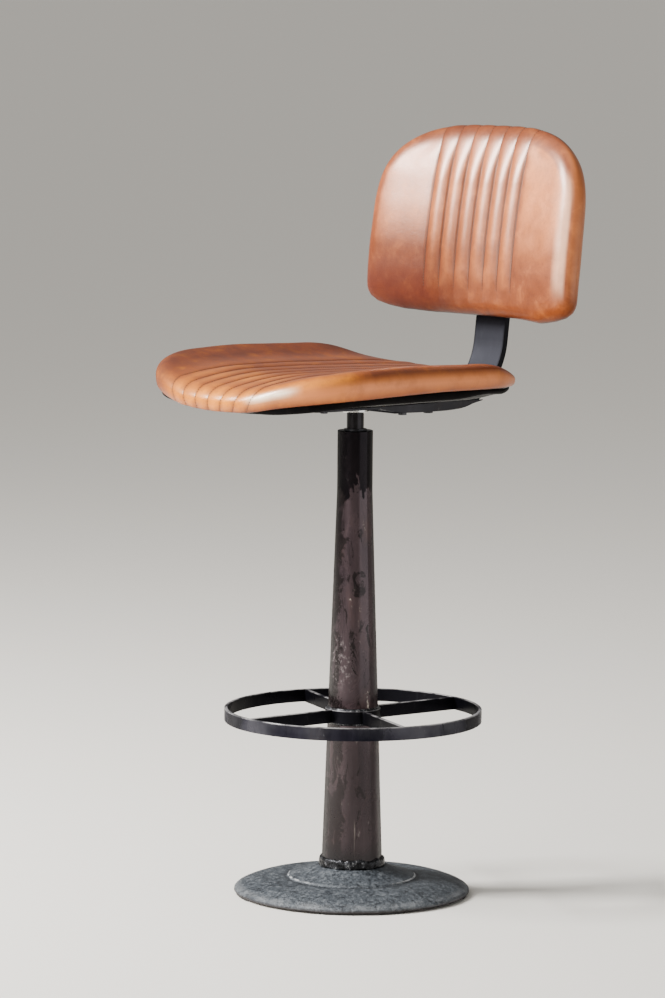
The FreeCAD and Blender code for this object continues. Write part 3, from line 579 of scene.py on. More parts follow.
class Pad:
    """grid of quads over the upper face, rings round the edge, a grid under it: all quads, columns kept straight"""

    def __init__(self, half, corner, inset, cols, nv, straight):
        self.loop = L = Loop(half)
        self.cols = cols = np.array(cols, float)
        self.nu, self.nv, self.inset = len(cols) - 1, nv, inset
        q = L.n // 4
        self.front = L.finder(inset, 0, -q, q)
        self.rear = L.finder(inset, 0, q, 3 * q)
        kf = float(self.front(corner))
        kr = float(self.rear(corner))
        self.side = L.finder(inset, 1, int(kf) - 2, int(kr) + 2)
        yf = L.at(self.front(cols), inset)[:, 1]
        yr = L.at(self.rear(cols), inset)[:, 1]
        v = np.linspace(0.0, 1.0, nv + 1)
        ys = yf[-1] + (yr[-1] - yf[-1]) * v
        bulge = L.at(self.side(ys), inset)[:, 0] - corner
        bulge[0] = bulge[-1] = 0.0
        t = np.clip((np.abs(cols) - straight) / (corner - straight), 0.0, 1.0)
        lean = np.sign(cols) * t ** 1.35
        self.X = cols[:, None] + lean[:, None] * bulge[None, :]
        self.Y = yf[:, None] + (yr - yf)[:, None] * v[None, :]
        nu = self.nu
        # the perimeter, anticlockwise from the front left corner
        I = [(i, 0) for i in range(nu + 1)] + [(nu, j) for j in range(1, nv + 1)]
        I += [(i, nv) for i in range(nu - 1, -1, -1)] + [(0, j) for j in range(nv - 1, 0, -1)]
        self.per = I
        self.part = np.array([0] * (nu + 1) + [1] * (nv - 1) + [2] * (nu + 1) + [3] * (nv - 1))
        x = np.array([self.X[i, j] for i, j in I])
        y = np.array([self.Y[i, j] for i, j in I])
        k = np.where(self.part == 0, self.front(x), 0.0)
        k = np.where(self.part == 2, self.rear(x), k)
        k = np.where(self.part == 1, self.side(y), k)
        k = np.where(self.part == 3, L.n - self.side(y), k)
        self.k = k
        self.label = np.array([cols[i] for i, j in I])
        self.vpos = np.array([v[j] for i, j in I])

    def build(self, rings, top, under, squeeze=0.0, keep=95.0):
        """rings: list of functions (points at an inset chooser) giving inset and height; top and under give heights"""
        nu, nv = self.nu, self.nv
        P = len(self.per)
        verts = [np.stack([self.X, self.Y, top(self.X, self.Y)], 2).reshape(-1, 3)]
        lab = [np.repeat(self.cols, nv + 1)]
        vp = [np.tile(np.linspace(0, 1, nv + 1), nu + 1)]
        prog = [np.zeros((nu + 1) * (nv + 1))]
        idx = lambda i, j: i * (nv + 1) + j
        loops = [np.array([idx(i, j) for i, j in self.per])]
        base = (nu + 1) * (nv + 1)
        q4 = self.loop.n // 4
        edge_x = self.loop.finder(0.0, 0, -q4, q4)
        k0 = self.k
        x_out = self.loop.at(k0, 0.0)[:, 0]
        last = None
        for n, (progress, fn) in enumerate(rings):
            k = k0.copy()
            if squeeze:
                w = 1.0 - smooth((np.abs(self.label) - keep) / (self.cols[-1] - keep))
                f = self.part == 0
                xs = x_out * (1.0 - squeeze * w * progress)
                k = np.where(f, edge_x(xs), k)
            p = fn(self.loop, k)
            verts.append(p)
            lab.append(self.label)
            vp.append(self.vpos)
            prog.append(np.full(P, progress))
            loops.append(base + np.arange(P))
            base += P
            last = p
        # the grid under it, its border on the last ring
        B = np.zeros((nu + 1, nv + 1, 2))
        for (i, j), q in zip(self.per, last):
            B[i, j] = q[:2]
        u = (np.arange(nu + 1) / nu)[:, None, None]
        w = (np.arange(nv + 1) / nv)[None, :, None]
        C = (1 - w) * B[:, :1] + w * B[:, -1:] + (1 - u) * B[:1] + u * B[-1:] - (
            (1 - u) * (1 - w) * B[0, 0] + u * (1 - w) * B[-1, 0] + (1 - u) * w * B[0, -1] + u * w * B[-1, -1])
        inner = C[1:-1, 1:-1].reshape(-1, 2)
        verts.append(np.c_[inner, under(inner[:, 0], inner[:, 1])])
        lab.append(np.repeat(self.cols[1:-1], nv - 1))
        vp.append(np.tile(np.linspace(0, 1, nv + 1)[1:-1], nu - 1))
        prog.append(np.full(len(inner), 2.0))
        low = np.zeros((nu + 1, nv + 1), int)
        for n, (i, j) in enumerate(self.per):
            low[i, j] = loops[-1][n]
        low[1:-1, 1:-1] = base + np.arange((nu - 1) * (nv - 1)).reshape(nu - 1, nv - 1)
        quads = []
        i, j = np.meshgrid(np.arange(nu), np.arange(nv), indexing="ij")
        quads.append(np.stack([idx(i, j), idx(i + 1, j), idx(i + 1, j + 1), idx(i, j + 1)], 2).reshape(-1, 4))
        for a, b in zip(loops, loops[1:]):
            quads.append(np.stack([a, b, np.roll(b, -1), np.roll(a, -1)], 1))
        quads.append(np.stack([low[:-1, :-1], low[:-1, 1:], low[1:, 1:], low[1:, :-1]], 2).reshape(-1, 4))
        self.loops = loops
        self.v = np.concatenate(verts)
        self.q = np.concatenate(quads)
        self.lab, self.vp, self.prog = np.concatenate(lab), np.concatenate(vp), np.concatenate(prog)
        return self

    def normals(self, v):
        a, b, c, d = (v[self.q[:, n]] for n in range(4))
        f = np.cross(c - a, d - b)
        out = np.zeros_like(v)
        for n in range(4):
            np.add.at(out, self.q[:, n], f)
        return out / np.maximum(np.linalg.norm(out, axis=1)[:, None], 1e-12)


def mesh_object(name, verts, faces, material, smooth_shade=True):
    m = bpy.data.meshes.new(name)
    m.from_pydata([tuple(p) for p in verts], [], [tuple(int(i) for i in f) for f in faces])
    m.materials.append(material)
    if smooth_shade:
        m.polygons.foreach_set("use_smooth", [True] * len(m.polygons))
    m.update()
    o = bpy.data.objects.new(name, m)
    bpy.context.scene.collection.objects.link(o)
    return o


def coords(mesh):
    co = np.zeros(len(mesh.vertices) * 3)
    mesh.vertices.foreach_get("co", co)
    return co.reshape(-1, 3)


def set_attr(o, name, values):
    a = o.data.attributes.new(name, "FLOAT", "POINT")
    a.data.foreach_set("value", np.asarray(values, np.float32))


def inflate(o, quads, pins, cap, pressure=4.0, frames=20):
    """the cover is puffed out by its filling: cloth under pressure, held at its seams and hem, no point moving further than cap"""
    scene = bpy.context.scene
    before = coords(o.data)
    g = o.vertex_groups.new(name="held")
    for w in np.unique(np.round(pins, 2)):
        if w > 0:
            g.add([int(i) for i in np.nonzero(np.round(pins, 2) == w)[0]], float(w), "REPLACE")
    mod = o.modifiers.new("cloth", "CLOTH")
    s = mod.settings
    s.quality = 6
    s.mass = 0.25
    s.tension_stiffness = s.compression_stiffness = 22.0
    s.shear_stiffness = 12.0
    s.bending_stiffness = 2.5
    s.tension_damping = s.compression_damping = s.shear_damping = 12.0
    s.bending_damping = 1.0
    s.use_pressure = True
    s.uniform_pressure_force = pressure
    s.vertex_group_mass = "held"
    s.effector_weights.gravity = 0.0
    mod.point_cache.frame_start, mod.point_cache.frame_end = 1, frames
    for f in range(1, frames + 1):
        scene.frame_set(f)
    dg = bpy.context.evaluated_depsgraph_get()
    after = coords(o.evaluated_get(dg).data)
    o.modifiers.remove(mod)
    scene.frame_set(1)
    move = after - before
    if not np.isfinite(move).all():
        move[:] = 0.0
    size = np.linalg.norm(move, axis=1)
    move *= (np.minimum(size, cap * np.tanh(size / cap)) / np.maximum(size, 1e-12))[:, None]
    # small wrinkles that the coarse cloth makes are relaxed, the seams and the hem stay where they are
    a = np.concatenate([quads[:, n] for n in range(4)])
    b = np.concatenate([quads[:, (n + 1) % 4] for n in range(4)])
    count = np.bincount(a, minlength=len(move)) + np.bincount(b, minlength=len(move))
    for _ in range(10):
        near = np.stack([np.bincount(a, move[b, c], len(move)) + np.bincount(b, move[a, c], len(move)) for c in range(3)], 1)
        move = 0.4 * move + 0.6 * near / np.maximum(count, 1)[:, None]
        move[pins > 0.5] = 0.0
    o.data.vertices.foreach_set("co", (before + move).ravel())
    o.data.update()
    o.vertex_groups.remove(o.vertex_groups["held"])
    return float(size.max()), float(size.mean())


def subdivide(o, levels=1):
    mod = o.modifiers.new("sub", "SUBSURF")
    mod.levels = mod.render_levels = levels
    mod.boundary_smooth = "ALL"
    dg = bpy.context.evaluated_depsgraph_get()
    new = bpy.data.meshes.new_from_object(o.evaluated_get(dg))
    o.modifiers.remove(mod)
    old = o.data
    o.data = new
    new.name = o.name
    bpy.data.meshes.remove(old)
    new.polygons.foreach_set("use_smooth", [True] * len(new.polygons))


# ------------------------------------------------------------ sewn channels
PITCH = 31.5
SEAM_X = [PITCH * n for n in range(-3, 4)]
CELL = [0.0, 1.1, 2.8, 6.2, 11.0, 15.75, 20.5, 25.3, 28.7, 30.4]


def make_cols(corner, extra):
    mid = [s + c for s in SEAM_X[:-1] for c in CELL] + [SEAM_X[-1]]
    lead = [1.1, 2.8, 6.2, 11.0]
    rest = list(np.linspace(SEAM_X[-1] + 11.0, corner, extra + 1)[1:])
    right = [SEAM_X[-1] + d for d in lead] + rest
    return sorted([-x for x in right]) + mid + right


def channel(x, high):
    """height of a row of sewn ribs, 0 well outside it"""
    ax = np.abs(x)
    t = np.mod(x / PITCH, 1.0)
    rib = high * (1.0 - np.abs(2.0 * t - 1.0) ** 2.0) - 0.12 * high
    e = (ax - SEAM_X[-1])
    wing = -0.12 * high * (1.0 - smooth(e / 12.0))
    f = np.where(e <= 0.0, rib, wing)
    near = np.min([np.abs(x - s) for s in SEAM_X], axis=0)
    pull = -0.16 * high * np.exp(-(near / 1.6) ** 2)
    return f + pull, near


def stitch_run(path, normal, pitch=4.2, length=3.0, r=0.42, lift=0.25):
    """thread seen between its holes: short capsules along a path, in mm"""
    seg = np.linalg.norm(np.diff(path, axis=0), axis=1)
    s = np.concatenate([[0.0], np.cumsum(seg)])
    n = int(s[-1] / pitch)
    if n < 2:
        return [], []
    starts = (np.arange(n) + 0.5) * (s[-1] / n)
    verts, faces = [], []
    prof = [(-0.5, 0.0, -1.3), (-0.42, 0.62, -0.75), (-0.22, 1.0, 0.0), (0.0, 1.04, 0.15), (0.22, 1.0, 0.0), (0.42, 0.62, -0.75), (0.5, 0.0, -1.3)]

    def sample(arr, q):
        return np.stack([np.interp(q, s, arr[:, c]) for c in range(3)], -1)

    for c in starts:
        p0 = sample(path, c)
        tan = sample(path, c + 1.0) - sample(path, c - 1.0)
        tan /= max(np.linalg.norm(tan), 1e-9)
        nn = sample(normal, c)
        nn = nn - tan * nn.dot(tan)
        nn /= max(np.linalg.norm(nn), 1e-9)
        side = np.cross(tan, nn)
        b = len(verts)
        for u, rad, sink in prof:
            cen = p0 + tan * u * length + nn * (lift + sink * r * 0.55)
            if rad == 0.0:
                verts.append(cen)
                continue
            for m in range(6):
                a = math.pi / 3.0 * m
                verts.append(cen + (side * math.cos(a) + nn * math.sin(a)) * r * rad)
        for m in range(6):
            faces.append((b, b + 1 + (m + 1) % 6, b + 1 + m))
        for ring in range(4):
            o0, o1 = b + 1 + ring * 6, b + 7 + ring * 6
            for m in range(6):
                faces.append((o0 + m, o0 + (m + 1) % 6, o1 + (m + 1) % 6, o1 + m))
        o0 = b + 25
        tip = b + 31
        for m in range(6):
            faces.append((o0 + m, o0 + (m + 1) % 6, tip))
    return verts, faces


def to_metres(p):
    return np.asarray(p) * MM


# --------------------------------------------------------------- the seat
ZB = [(-5, 0)]


SEAT_TILT = -0.014        # the cushion sits a little higher on its right side
HEM_FRONT = [(-216, 758.0), (-190, 757.5), (-160, 755.0), (-140, 752.5), (-119, 748.5), (-101, 745.5), (-80, 741.5), (-65, 739.5),
             (-34, 736.8), (0, 735.4), (30, 735.6), (60, 736.4), (82, 738.0), (100, 741.0), (115, 743.8), (137, 747.4), (156, 750.2),
             (176, 752.8), (194, 755.6), (216, 758.5)]


def seat_skin(x, y):
    """upper face of the cushion as it is upholstered"""
    far = 3.8 * smooth((-x - 120.0) / 75.0) * soft([(-130, 0), (-60, 0.45), (0, 0.8), (60, 1.0), (110, 1.0), (145, 0.6), (180, 0.1), (200, 0)], y)
    return seat_top(x, y) - 1.0 + SEAT_TILT * x + far


def seat_hem(p):
    """height of the leather's lower edge"""
    front = soft(HEM_FRONT, p[:, 0], 8.0)
    side = soft([(-260, 752), (-190, 757.5), (-133, 760.5), (-86, 761.6), (-30, 762.4), (19, 762), (65, 761), (112, 760.5), (150, 760), (190, 757.0)],
                p[:, 1], 14.0) - 3.0 * smooth((60.0 - np.abs(p[:, 0])) / 60.0)
    w = smooth((-p[:, 1] - 185.0) / 55.0)
    return side * (1.0 - w) + front * w


def make_seat():
    inset = 23.0
    pad = Pad(SEAT_HALF, 150.0, inset, make_cols(150.0, 11), 78, 97.0)

    top = seat_skin

    def upper(phi):
        def fn(loop, k):
            d = inset * (1.0 - math.sin(phi))
            xy = loop.at(k, d)
            rim = loop.at(k, 0.0)
            hem = seat_hem(rim)
            zt = seat_skin(rim[:, 0], rim[:, 1])
            mid = hem + 0.50 * (zt - hem)
            z = seat_skin(xy[:, 0], xy[:, 1]) - (zt - mid) * (1.0 - math.cos(phi))
            return np.c_[xy, z]
        return fn

    def lower(phi, tuck=7.0):
        def fn(loop, k):
            rim = loop.at(k, 0.0)
            hem = seat_hem(rim)
            zt = seat_skin(rim[:, 0], rim[:, 1])
            mid = hem + 0.50 * (zt - hem)
            fr = smooth((-rim[:, 1] - 200.0) / 60.0) * (1.0 - smooth((np.abs(rim[:, 0]) - 60.0) / 70.0))
            b = tuck - 1.5 * fr
            d = b * (1.0 - math.cos(phi)) ** 1.15
            xy = loop.at(k, d)
            z = mid - (mid - hem) * math.sin(phi)
            return np.c_[xy, z]
        return fn

    def tuck(d, dz):
        def fn(loop, k):
            rim = loop.at(k, 0.0)
            xy = loop.at(k, d)
            hem = seat_hem(rim)
            z = np.minimum(hem + dz, pan_top(xy[:, 0], xy[:, 1]) + 0.4) if dz < 3 else pan_top(xy[:, 0], xy[:, 1]) + 0.4
            return np.c_[xy, z]
        return fn

    rings = []
    for n in range(1, 9):
        rings.append((0.55 * n / 8.0, upper(math.pi / 2 * n / 8.0)))
    for n in range(1, 6):
        rings.append((0.55 + 0.40 * n / 5.0, lower(math.pi / 2 * n / 5.0)))
    rings.append((0.97, tuck(8.3, 0.3)))
    rings.append((1.0, tuck(12.0, 9.0)))
    pad.build(rings, top, lambda x, y: pan_top(x, y) + 0.4, squeeze=0.27)
    v = pad.v
    nrm = pad.normals(v)
    y = v[:, 1]
    front = pad.vp < 0.5
    # ribs: full at the front roll, sunk into the seat further back, where the two outer seams still show
    high = np.interp(y, [-290, -245, -205, -165, -125, -90, -40, 190], [0.8, 1.0, 1.5, 2.1, 2.0, 1.4, 0.9, 0.6])
    outer = smooth((np.abs(pad.lab) - 1.6 * PITCH) / PITCH)
    high = high + outer * np.interp(y, [-200, -120, 0, 190], [0.0, 0.7, 1.1, 0.6])
    pr = pad.prog
    high = high * np.where(pr >= 2.0, 0.0, np.where(front, 1.0 - smooth((pr - 0.80) / 0.16), 1.0 - smooth((pr - 0.45) / 0.4)))
    f, near = channel(pad.lab, high)
    inner = np.abs(pad.lab) < SEAM_X[-1] + 14.0
    f = np.where(inner & (pr < 1.5), f, 0.0)
    v = v + nrm * f[:, None]
    hold = np.zeros(len(v))
    hold[(near < 0.5) & (pr < 1.5)] = 1.0
    hold[pr > 0.86] = 1.0
    o = mesh_object("seat_upholstery", to_metres(v), pad.q, LEATHER_SEAT)
    # tone: paler where rubbed on the front roll and rib crests, much of that painted light; dark stitched seams with
    # painted shade in the grooves beside them; painted shade at the hem, under the roll, at the rear, on the top face,
    # on the far left side and in a dark streak along the side roll; painted light on the lower right side and a painted
    # highlight on the front right roll
    act = np.clip(high / 1.1, 0.0, 1.0)
    # the narrow term darkens the stitched join, the wide term is painted shade in the groove
    seam_and_groove_shade = ((0.40 + 0.22 * smooth((y + 260.0) / 50.0)) * np.exp(-(near / 5.2) ** 2) + 0.38 * np.exp(-(near / 1.6) ** 2)) * act * (pr < 1.5)
    # painted shade: darker under the roll, at the rear, in the side-roll stripe, on the top face and on the far left
    # side
    edge_wear_and_shade = smooth((pr - 0.74) / 0.22) * 0.85
    edge_wear_and_shade = np.maximum(edge_wear_and_shade, 0.45 * smooth((y - 80.0) / 110.0) * (pr > 0.0) * (pr < 1.5))
    side_roll = np.exp(-((pr - 0.31) / 0.11) ** 2) * (pad.vp > 0.2) * (pr < 1.5)
    edge_wear_and_shade = np.maximum(edge_wear_and_shade, 0.45 * side_roll * smooth((y + 105.0) / 90.0))
    top_face = (pr < 0.30) * smooth((y + 235.0) / 110.0)
    edge_wear_and_shade = np.maximum(edge_wear_and_shade, 0.52 * top_face * (1.0 - 0.55 * smooth((v[:, 0] - 95.0) / 60.0)))
    edge_wear_and_shade = np.maximum(edge_wear_and_shade, 1.0 * smooth((-v[:, 0] - 70.0) / 85.0) * (pr < 1.5))
    # painted shade: the turned-under leather is made near-black
    hem = smooth((pr - 0.885) / 0.06)
    t = np.mod(pad.lab / PITCH, 1.0)
    crest = (1.0 - np.abs(2.0 * t - 1.0)) ** 1.2 * (np.abs(pad.lab) < SEAM_X[-1]) * act
    # painted light: the front roll's middle is made paler, and the rib crests partly
    lip = np.exp(-((pr - 0.44) / 0.26) ** 2) * smooth((-y - 110.0) / 110.0)
    rub_and_painted_light = np.clip(0.35 * crest * smooth((-y - 100.0) / 120.0) + 0.90 * lip, 0.0, 1.0)
    rub_and_painted_light = rub_and_painted_light * (1.0 - 0.75 * smooth((-v[:, 0] - 50.0) / 90.0))
    # painted light on the lower right side
    flank_painted_light = np.exp(-((pr - 0.60) / 0.15) ** 2) * smooth((v[:, 0] - 120.0) / 60.0)
    rub_and_painted_light = rub_and_painted_light * (1.0 - smooth((y + 215.0) / 60.0) * (v[:, 0] > 60.0))
    # painted highlight on the front right roll
    painted_highlight = np.exp(-((pr - 0.48) / 0.09) ** 2) * smooth((v[:, 0] - 66.0) / 40.0) * (1.0 - smooth((v[:, 0] - 132.0) / 34.0)) * smooth((-y - 200.0) / 40.0)
    set_attr(o, "seam_and_groove_shade", seam_and_groove_shade)
    set_attr(o, "edge_wear_and_shade", edge_wear_and_shade)
    set_attr(o, "rub_and_painted_light", rub_and_painted_light)
    set_attr(o, "hem", hem)
    # painted shade: a dark stripe along the right side roll
    set_attr(o, "streak", 0.78 * side_roll * smooth((v[:, 0] - 100.0) / 60.0) * smooth((y + 215.0) / 45.0) * (1.0 - 0.35 * smooth((y + 110.0) / 60.0)))
    set_attr(o, "matte", 0.9 * smooth((y + 60.0) / 110.0) * smooth((v[:, 0] - 90.0) / 60.0) * (pr < 0.4))
    set_attr(o, "painted_highlight", painted_highlight)
    set_attr(o, "flank_painted_light", 1.0 * flank_painted_light * (1.0 - 0.45 * smooth((y - 60.0) / 110.0)))
    print("seat cloth moved", inflate(o, pad.q, hold, 1.3 * MM, 3.0))
    subdivide(o, 1)
    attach(o, "seat_assembly")
    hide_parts("seat_cover", "seat_foam")
    # stitches along the seams, from the lower front over the roll to the rear edge
    co = coords(o.data) / MM
    mn = np.zeros(len(co) * 3)
    o.data.vertices.foreach_get("normal", mn)
    mn = mn.reshape(-1, 3)
    verts, faces = [], []
    for s in SEAM_X:
        i = int(np.argmin(np.abs(pad.cols - s)))
        col = [i * (pad.nv + 1) + j for j in range(pad.nv + 1)]
        kf = pad.per.index((i, 0))
        down = [pad.loops[n][kf] for n in range(11, 0, -1)]
        kr = pad.per.index((i, pad.nv))
        back = [pad.loops[n][kr] for n in range(1, 7)]
        ids = [int(n) for n in down] + col + [int(n) for n in back]
        vs, fs = stitch_run(co[ids], mn[ids])
        faces += [tuple(a + len(verts) for a in f) for f in fs]
        verts += vs
    st = mesh_object("seat_stitching", to_metres(verts), faces, THREAD)
    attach(st, "seat_assembly")
    return o


# ------------------------------------------------- shell under the cushion
def shell_low(x, y):
    """its underside, pulled up a little under the right front corner"""
    lift = 6.5 * smooth((-x - 36.0) / 80.0) * smooth((-y - 185.0) / 60.0)
    lift = lift + 5.5 * smooth((y - 10.0) / 90.0) * smooth((np.abs(x) - 110.0) / 60.0)
    return pan_top(x, y) - 12.0 + lift


def make_shell():
    pad = Pad(SEAT_HALF, 150.0, 22.0, list(np.linspace(-150.0, 150.0, 41)), 60, 97.0)

    def rim(phi, r=3.2):
        def fn(loop, k):
            xy = loop.at(k, 9.0 + r * (1.0 - math.cos(phi)))
            return np.c_[xy, shell_low(xy[:, 0], xy[:, 1]) + r * (1.0 - math.sin(phi))]
        return fn

    def side(d, dz):
        def fn(loop, k):
            xy = loop.at(k, d)
            return np.c_[xy, pan_top(xy[:, 0], xy[:, 1]) + dz]
        return fn

    rings = [(0.2, side(12.0, -0.1)), (0.3, side(9.6, -0.4)), (0.4, side(9.0, -1.2))]
    rings += [(0.5 + 0.1 * n, rim(math.pi / 2 * n / 4.0)) for n in range(5)]
    rings.append((1.0, lambda loop, k: (lambda q: np.c_[q, shell_low(q[:, 0], q[:, 1])])(loop.at(k, 20.0))))
    pad.build(rings, lambda x, y: pan_top(x, y) - 0.1, shell_low)
    o = mesh_object("seat_shell", to_metres(pad.v), pad.q, SHELL)
    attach(o, "seat_assembly")
    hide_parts("seat_pan")
    return o


# --------------------------------------------------------------- the back
LEAN = math.radians(7.0)
ORG = np.array([0.0, 242.0, 860.0])
UP = np.array([0.0, math.sin(LEAN), math.cos(LEAN)])
FWD = np.array([0.0, -math.cos(LEAN), math.sin(LEAN)])


def place_back(p):
    return ORG + p[:, :1] * np.array([1.0, 0.0, 0.0]) + p[:, 1:2] * UP + p[:, 2:3] * FWD


def make_back():
    inset, rear_inset = 26.0, 20.0
    pad = Pad(BACK_HALF, 150.0, inset, make_cols(150.0, 10), 62, 97.0)

    def mid_of(rim):
        return 0.5 * (back_front(rim[:, 0], rim[:, 1]) + back_rear(rim[:, 0], rim[:, 1]))

    def top(x, y):
        return back_front(x, y) - 1.0

    def front(phi):
        def fn(loop, k):
            d = inset * (1.0 - math.sin(phi))
            xy = loop.at(k, d)
            rim = loop.at(k, 0.0)
            r1 = back_front(rim[:, 0], rim[:, 1]) - 1.0 - mid_of(rim)
            return np.c_[xy, back_front(xy[:, 0], xy[:, 1]) - 1.0 - r1 * (1.0 - math.cos(phi))]
        return fn

    def rear(phi):
        def fn(loop, k):
            d = rear_inset * (1.0 - math.cos(phi))
            xy = loop.at(k, d)
            rim = loop.at(k, 0.0)
            zr = back_rear(xy[:, 0], xy[:, 1]) + 1.0
            rim_r = back_rear(rim[:, 0], rim[:, 1]) + 1.0
            r2 = mid_of(rim) - rim_r
            return np.c_[xy, zr + r2 * (1.0 - math.sin(phi))]
        return fn

    def seam_ring(d, dz):
        def fn(loop, k):
            xy = loop.at(k, d)
            return np.c_[xy, back_rear(xy[:, 0], xy[:, 1]) + 1.0 + dz]
        return fn

    rings = []
    for n in range(1, 9):
        rings.append((0.5 * n / 8.0, front(math.pi / 2 * n / 8.0)))
    for n in range(1, 8):
        rings.append((0.5 + 0.4 * n / 7.0, rear(math.pi / 2 * n / 7.0)))
    rings.append((0.93, seam_ring(21.6, 0.5)))
    rings.append((0.95, seam_ring(22.8, 2.2)))
    rings.append((0.97, seam_ring(24.2, 0.3)))
    rings.append((1.0, seam_ring(28.0, -0.2)))
    pad.build(rings, top, lambda x, y: back_rear(x, y) + 1.0)
    v = pad.v
    nrm = pad.normals(v)
    # the lower right corner hangs a little lower, the lower left one is fuller
    v[:, 1] += 2.4 * np.exp(-((v[:, 0] + 148.0) / 34.0) ** 2) * smooth((30.0 - v[:, 1]) / 30.0)
    v[:, 1] -= 3.6 * smooth((v[:, 0] - 70.0) / 100.0) * smooth((70.0 - v[:, 1]) / 70.0)
    h, pr = v[:, 1], pad.prog
    upper = pad.vp > 0.5
    high = np.interp(h, [-5, 14, 40, 75, 110, 190, 216, 238, 256, 278], [0.0, 0.3, 1.7, 3.6, 4.5, 4.7, 3.6, 1.9, 1.1, 0.9])
    fade = np.where(upper, 1.0 - smooth((pr - 0.50) / 0.35), 1.0 - smooth((pr - 0.05) / 0.3))
    high = high * np.where(pr >= 1.5, 0.0, fade)
    f, near = channel(pad.lab, high)
    inner = (np.abs(pad.lab) < SEAM_X[-1] + 14.0) & (pr < 0.93)
    v = v + nrm * np.where(inner, f, 0.0)[:, None]
    hold = np.zeros(len(v))
    hold[(near < 0.5) & (pr < 0.9)] = 1.0
    hold[(pr > 0.88) & (pr < 0.99)] = 1.0
    # the rear panel lies flat where the bar and its sleeves are
    loc = pad.v
    hold[(pr >= 1.5) & (np.abs(loc[:, 0]) < 48.0) & (loc[:, 1] < 125.0)] = 1.0
    o = mesh_object("back_upholstery", to_metres(place_back(v)), pad.q, LEATHER_BACK)
    act = np.clip(high / 3.0, 0.0, 1.0) * smooth((high - 0.5) / 1.5)
    seam_and_groove_shade = np.exp(-(near / 1.6) ** 2) * act * inner
    seam_and_groove_shade = np.maximum(seam_and_groove_shade, np.exp(-((pr - 0.95) / 0.012) ** 2))
    ring = (pr > 0.0) & (pr < 1.5)
    # painted shade with rim darkening: the rolled rim and the rear panel are darker
    edge_wear_and_shade = np.where(ring, 0.62 * smooth((pr - 0.17) / 0.32) * (1.0 - 0.90 * smooth((v[:, 0] - 120.0) / 60.0) * smooth(h / 40.0)), 0.0)
    # painted shade on the top roll
    rise = np.interp(np.abs(v[:, 0]), [0, 70, 113, 149, 178, 202, 215], [277.5, 276, 270.5, 259.5, 243, 219, 192]) - h
    crown_shade = 0.62 * smooth((36.0 - rise) / 26.0) * (pr < 1.5) * (1.0 - 0.40 * smooth((v[:, 0] - 90.0) / 60.0)) * (1.0 - 0.55 * smooth((-v[:, 0] - 120.0) / 50.0))
    edge_wear_and_shade = np.maximum(edge_wear_and_shade, crown_shade)
    # painted shade: darker toward the bottom, most on the left
    low = 0.78 * smooth((168.0 - h) / 90.0) + 0.22 * smooth((62.0 - h) / 50.0)
    low = low * (1.0 - 0.70 * smooth((v[:, 0] + 95.0) / 150.0))
    edge_wear_and_shade = np.clip(np.maximum(edge_wear_and_shade, low * (pr < 1.5)), 0.0, 1.0)
    edge_wear_and_shade = np.where(pr >= 1.5, 0.35, edge_wear_and_shade)
    # painted highlight on the rib crests and painted light on the flat side panels, stronger on the right
    t = np.mod(pad.lab / PITCH, 1.0)
    crest = (1.0 - np.abs(2.0 * t - 1.0)) ** 1.2 * (np.abs(pad.lab) < SEAM_X[-1]) * act * (pr < 0.3)
    face = smooth((h - 40.0) / 110.0) * (pr < 0.02)
    wing = smooth((np.abs(pad.lab) - SEAM_X[-1] - 2.0) / 10.0)
    rub_and_painted_light = np.clip(0.70 * crest + face * wing * np.where(pad.lab > 0.0, 0.85, 0.40), 0.0, 1.0)
    set_attr(o, "seam_and_groove_shade", seam_and_groove_shade)
    set_attr(o, "rub_and_painted_light", rub_and_painted_light)
    # painted shadow along the bottom underside and the outer rim
    under = smooth((24.0 - h) / 30.0) * (1.0 - 0.30 * smooth((v[:, 0] + 40.0) / 120.0))
    hem = np.maximum(0.85 * under * smooth((pr - 0.37) / 0.10), 0.40 * smooth((pr - 0.42) / 0.08) * (1.0 - 0.85 * smooth((v[:, 0] - 120.0) / 60.0))) * ring * (pr < 0.9)
    set_attr(o, "edge_wear_and_shade", np.clip(np.maximum(edge_wear_and_shade, 1.18 * hem), 0.0, 1.0))
    set_attr(o, "hem", hem)
    # painted highlight and painted light in a stripe along the right border
    right_edge_highlight = smooth((v[:, 0] - 190.0) / 13.0) * (1.0 - smooth((v[:, 0] - 210.0) / 7.0)) * (1.0 - smooth((pr - 0.19) / 0.10)) * smooth((h - 12.0) / 45.0) * (1.0 - smooth((h - 185.0) / 45.0)) * (pr < 0.5)
    set_attr(o, "painted_highlight", 0.24 * right_edge_highlight)
    set_attr(o, "flank_painted_light", 0.60 * right_edge_highlight + 0.40 * smooth((pr - 0.22) / 0.15) * smooth((v[:, 0] - 150.0) / 40.0) * smooth((h - 20.0) / 40.0) * (pr < 0.8))
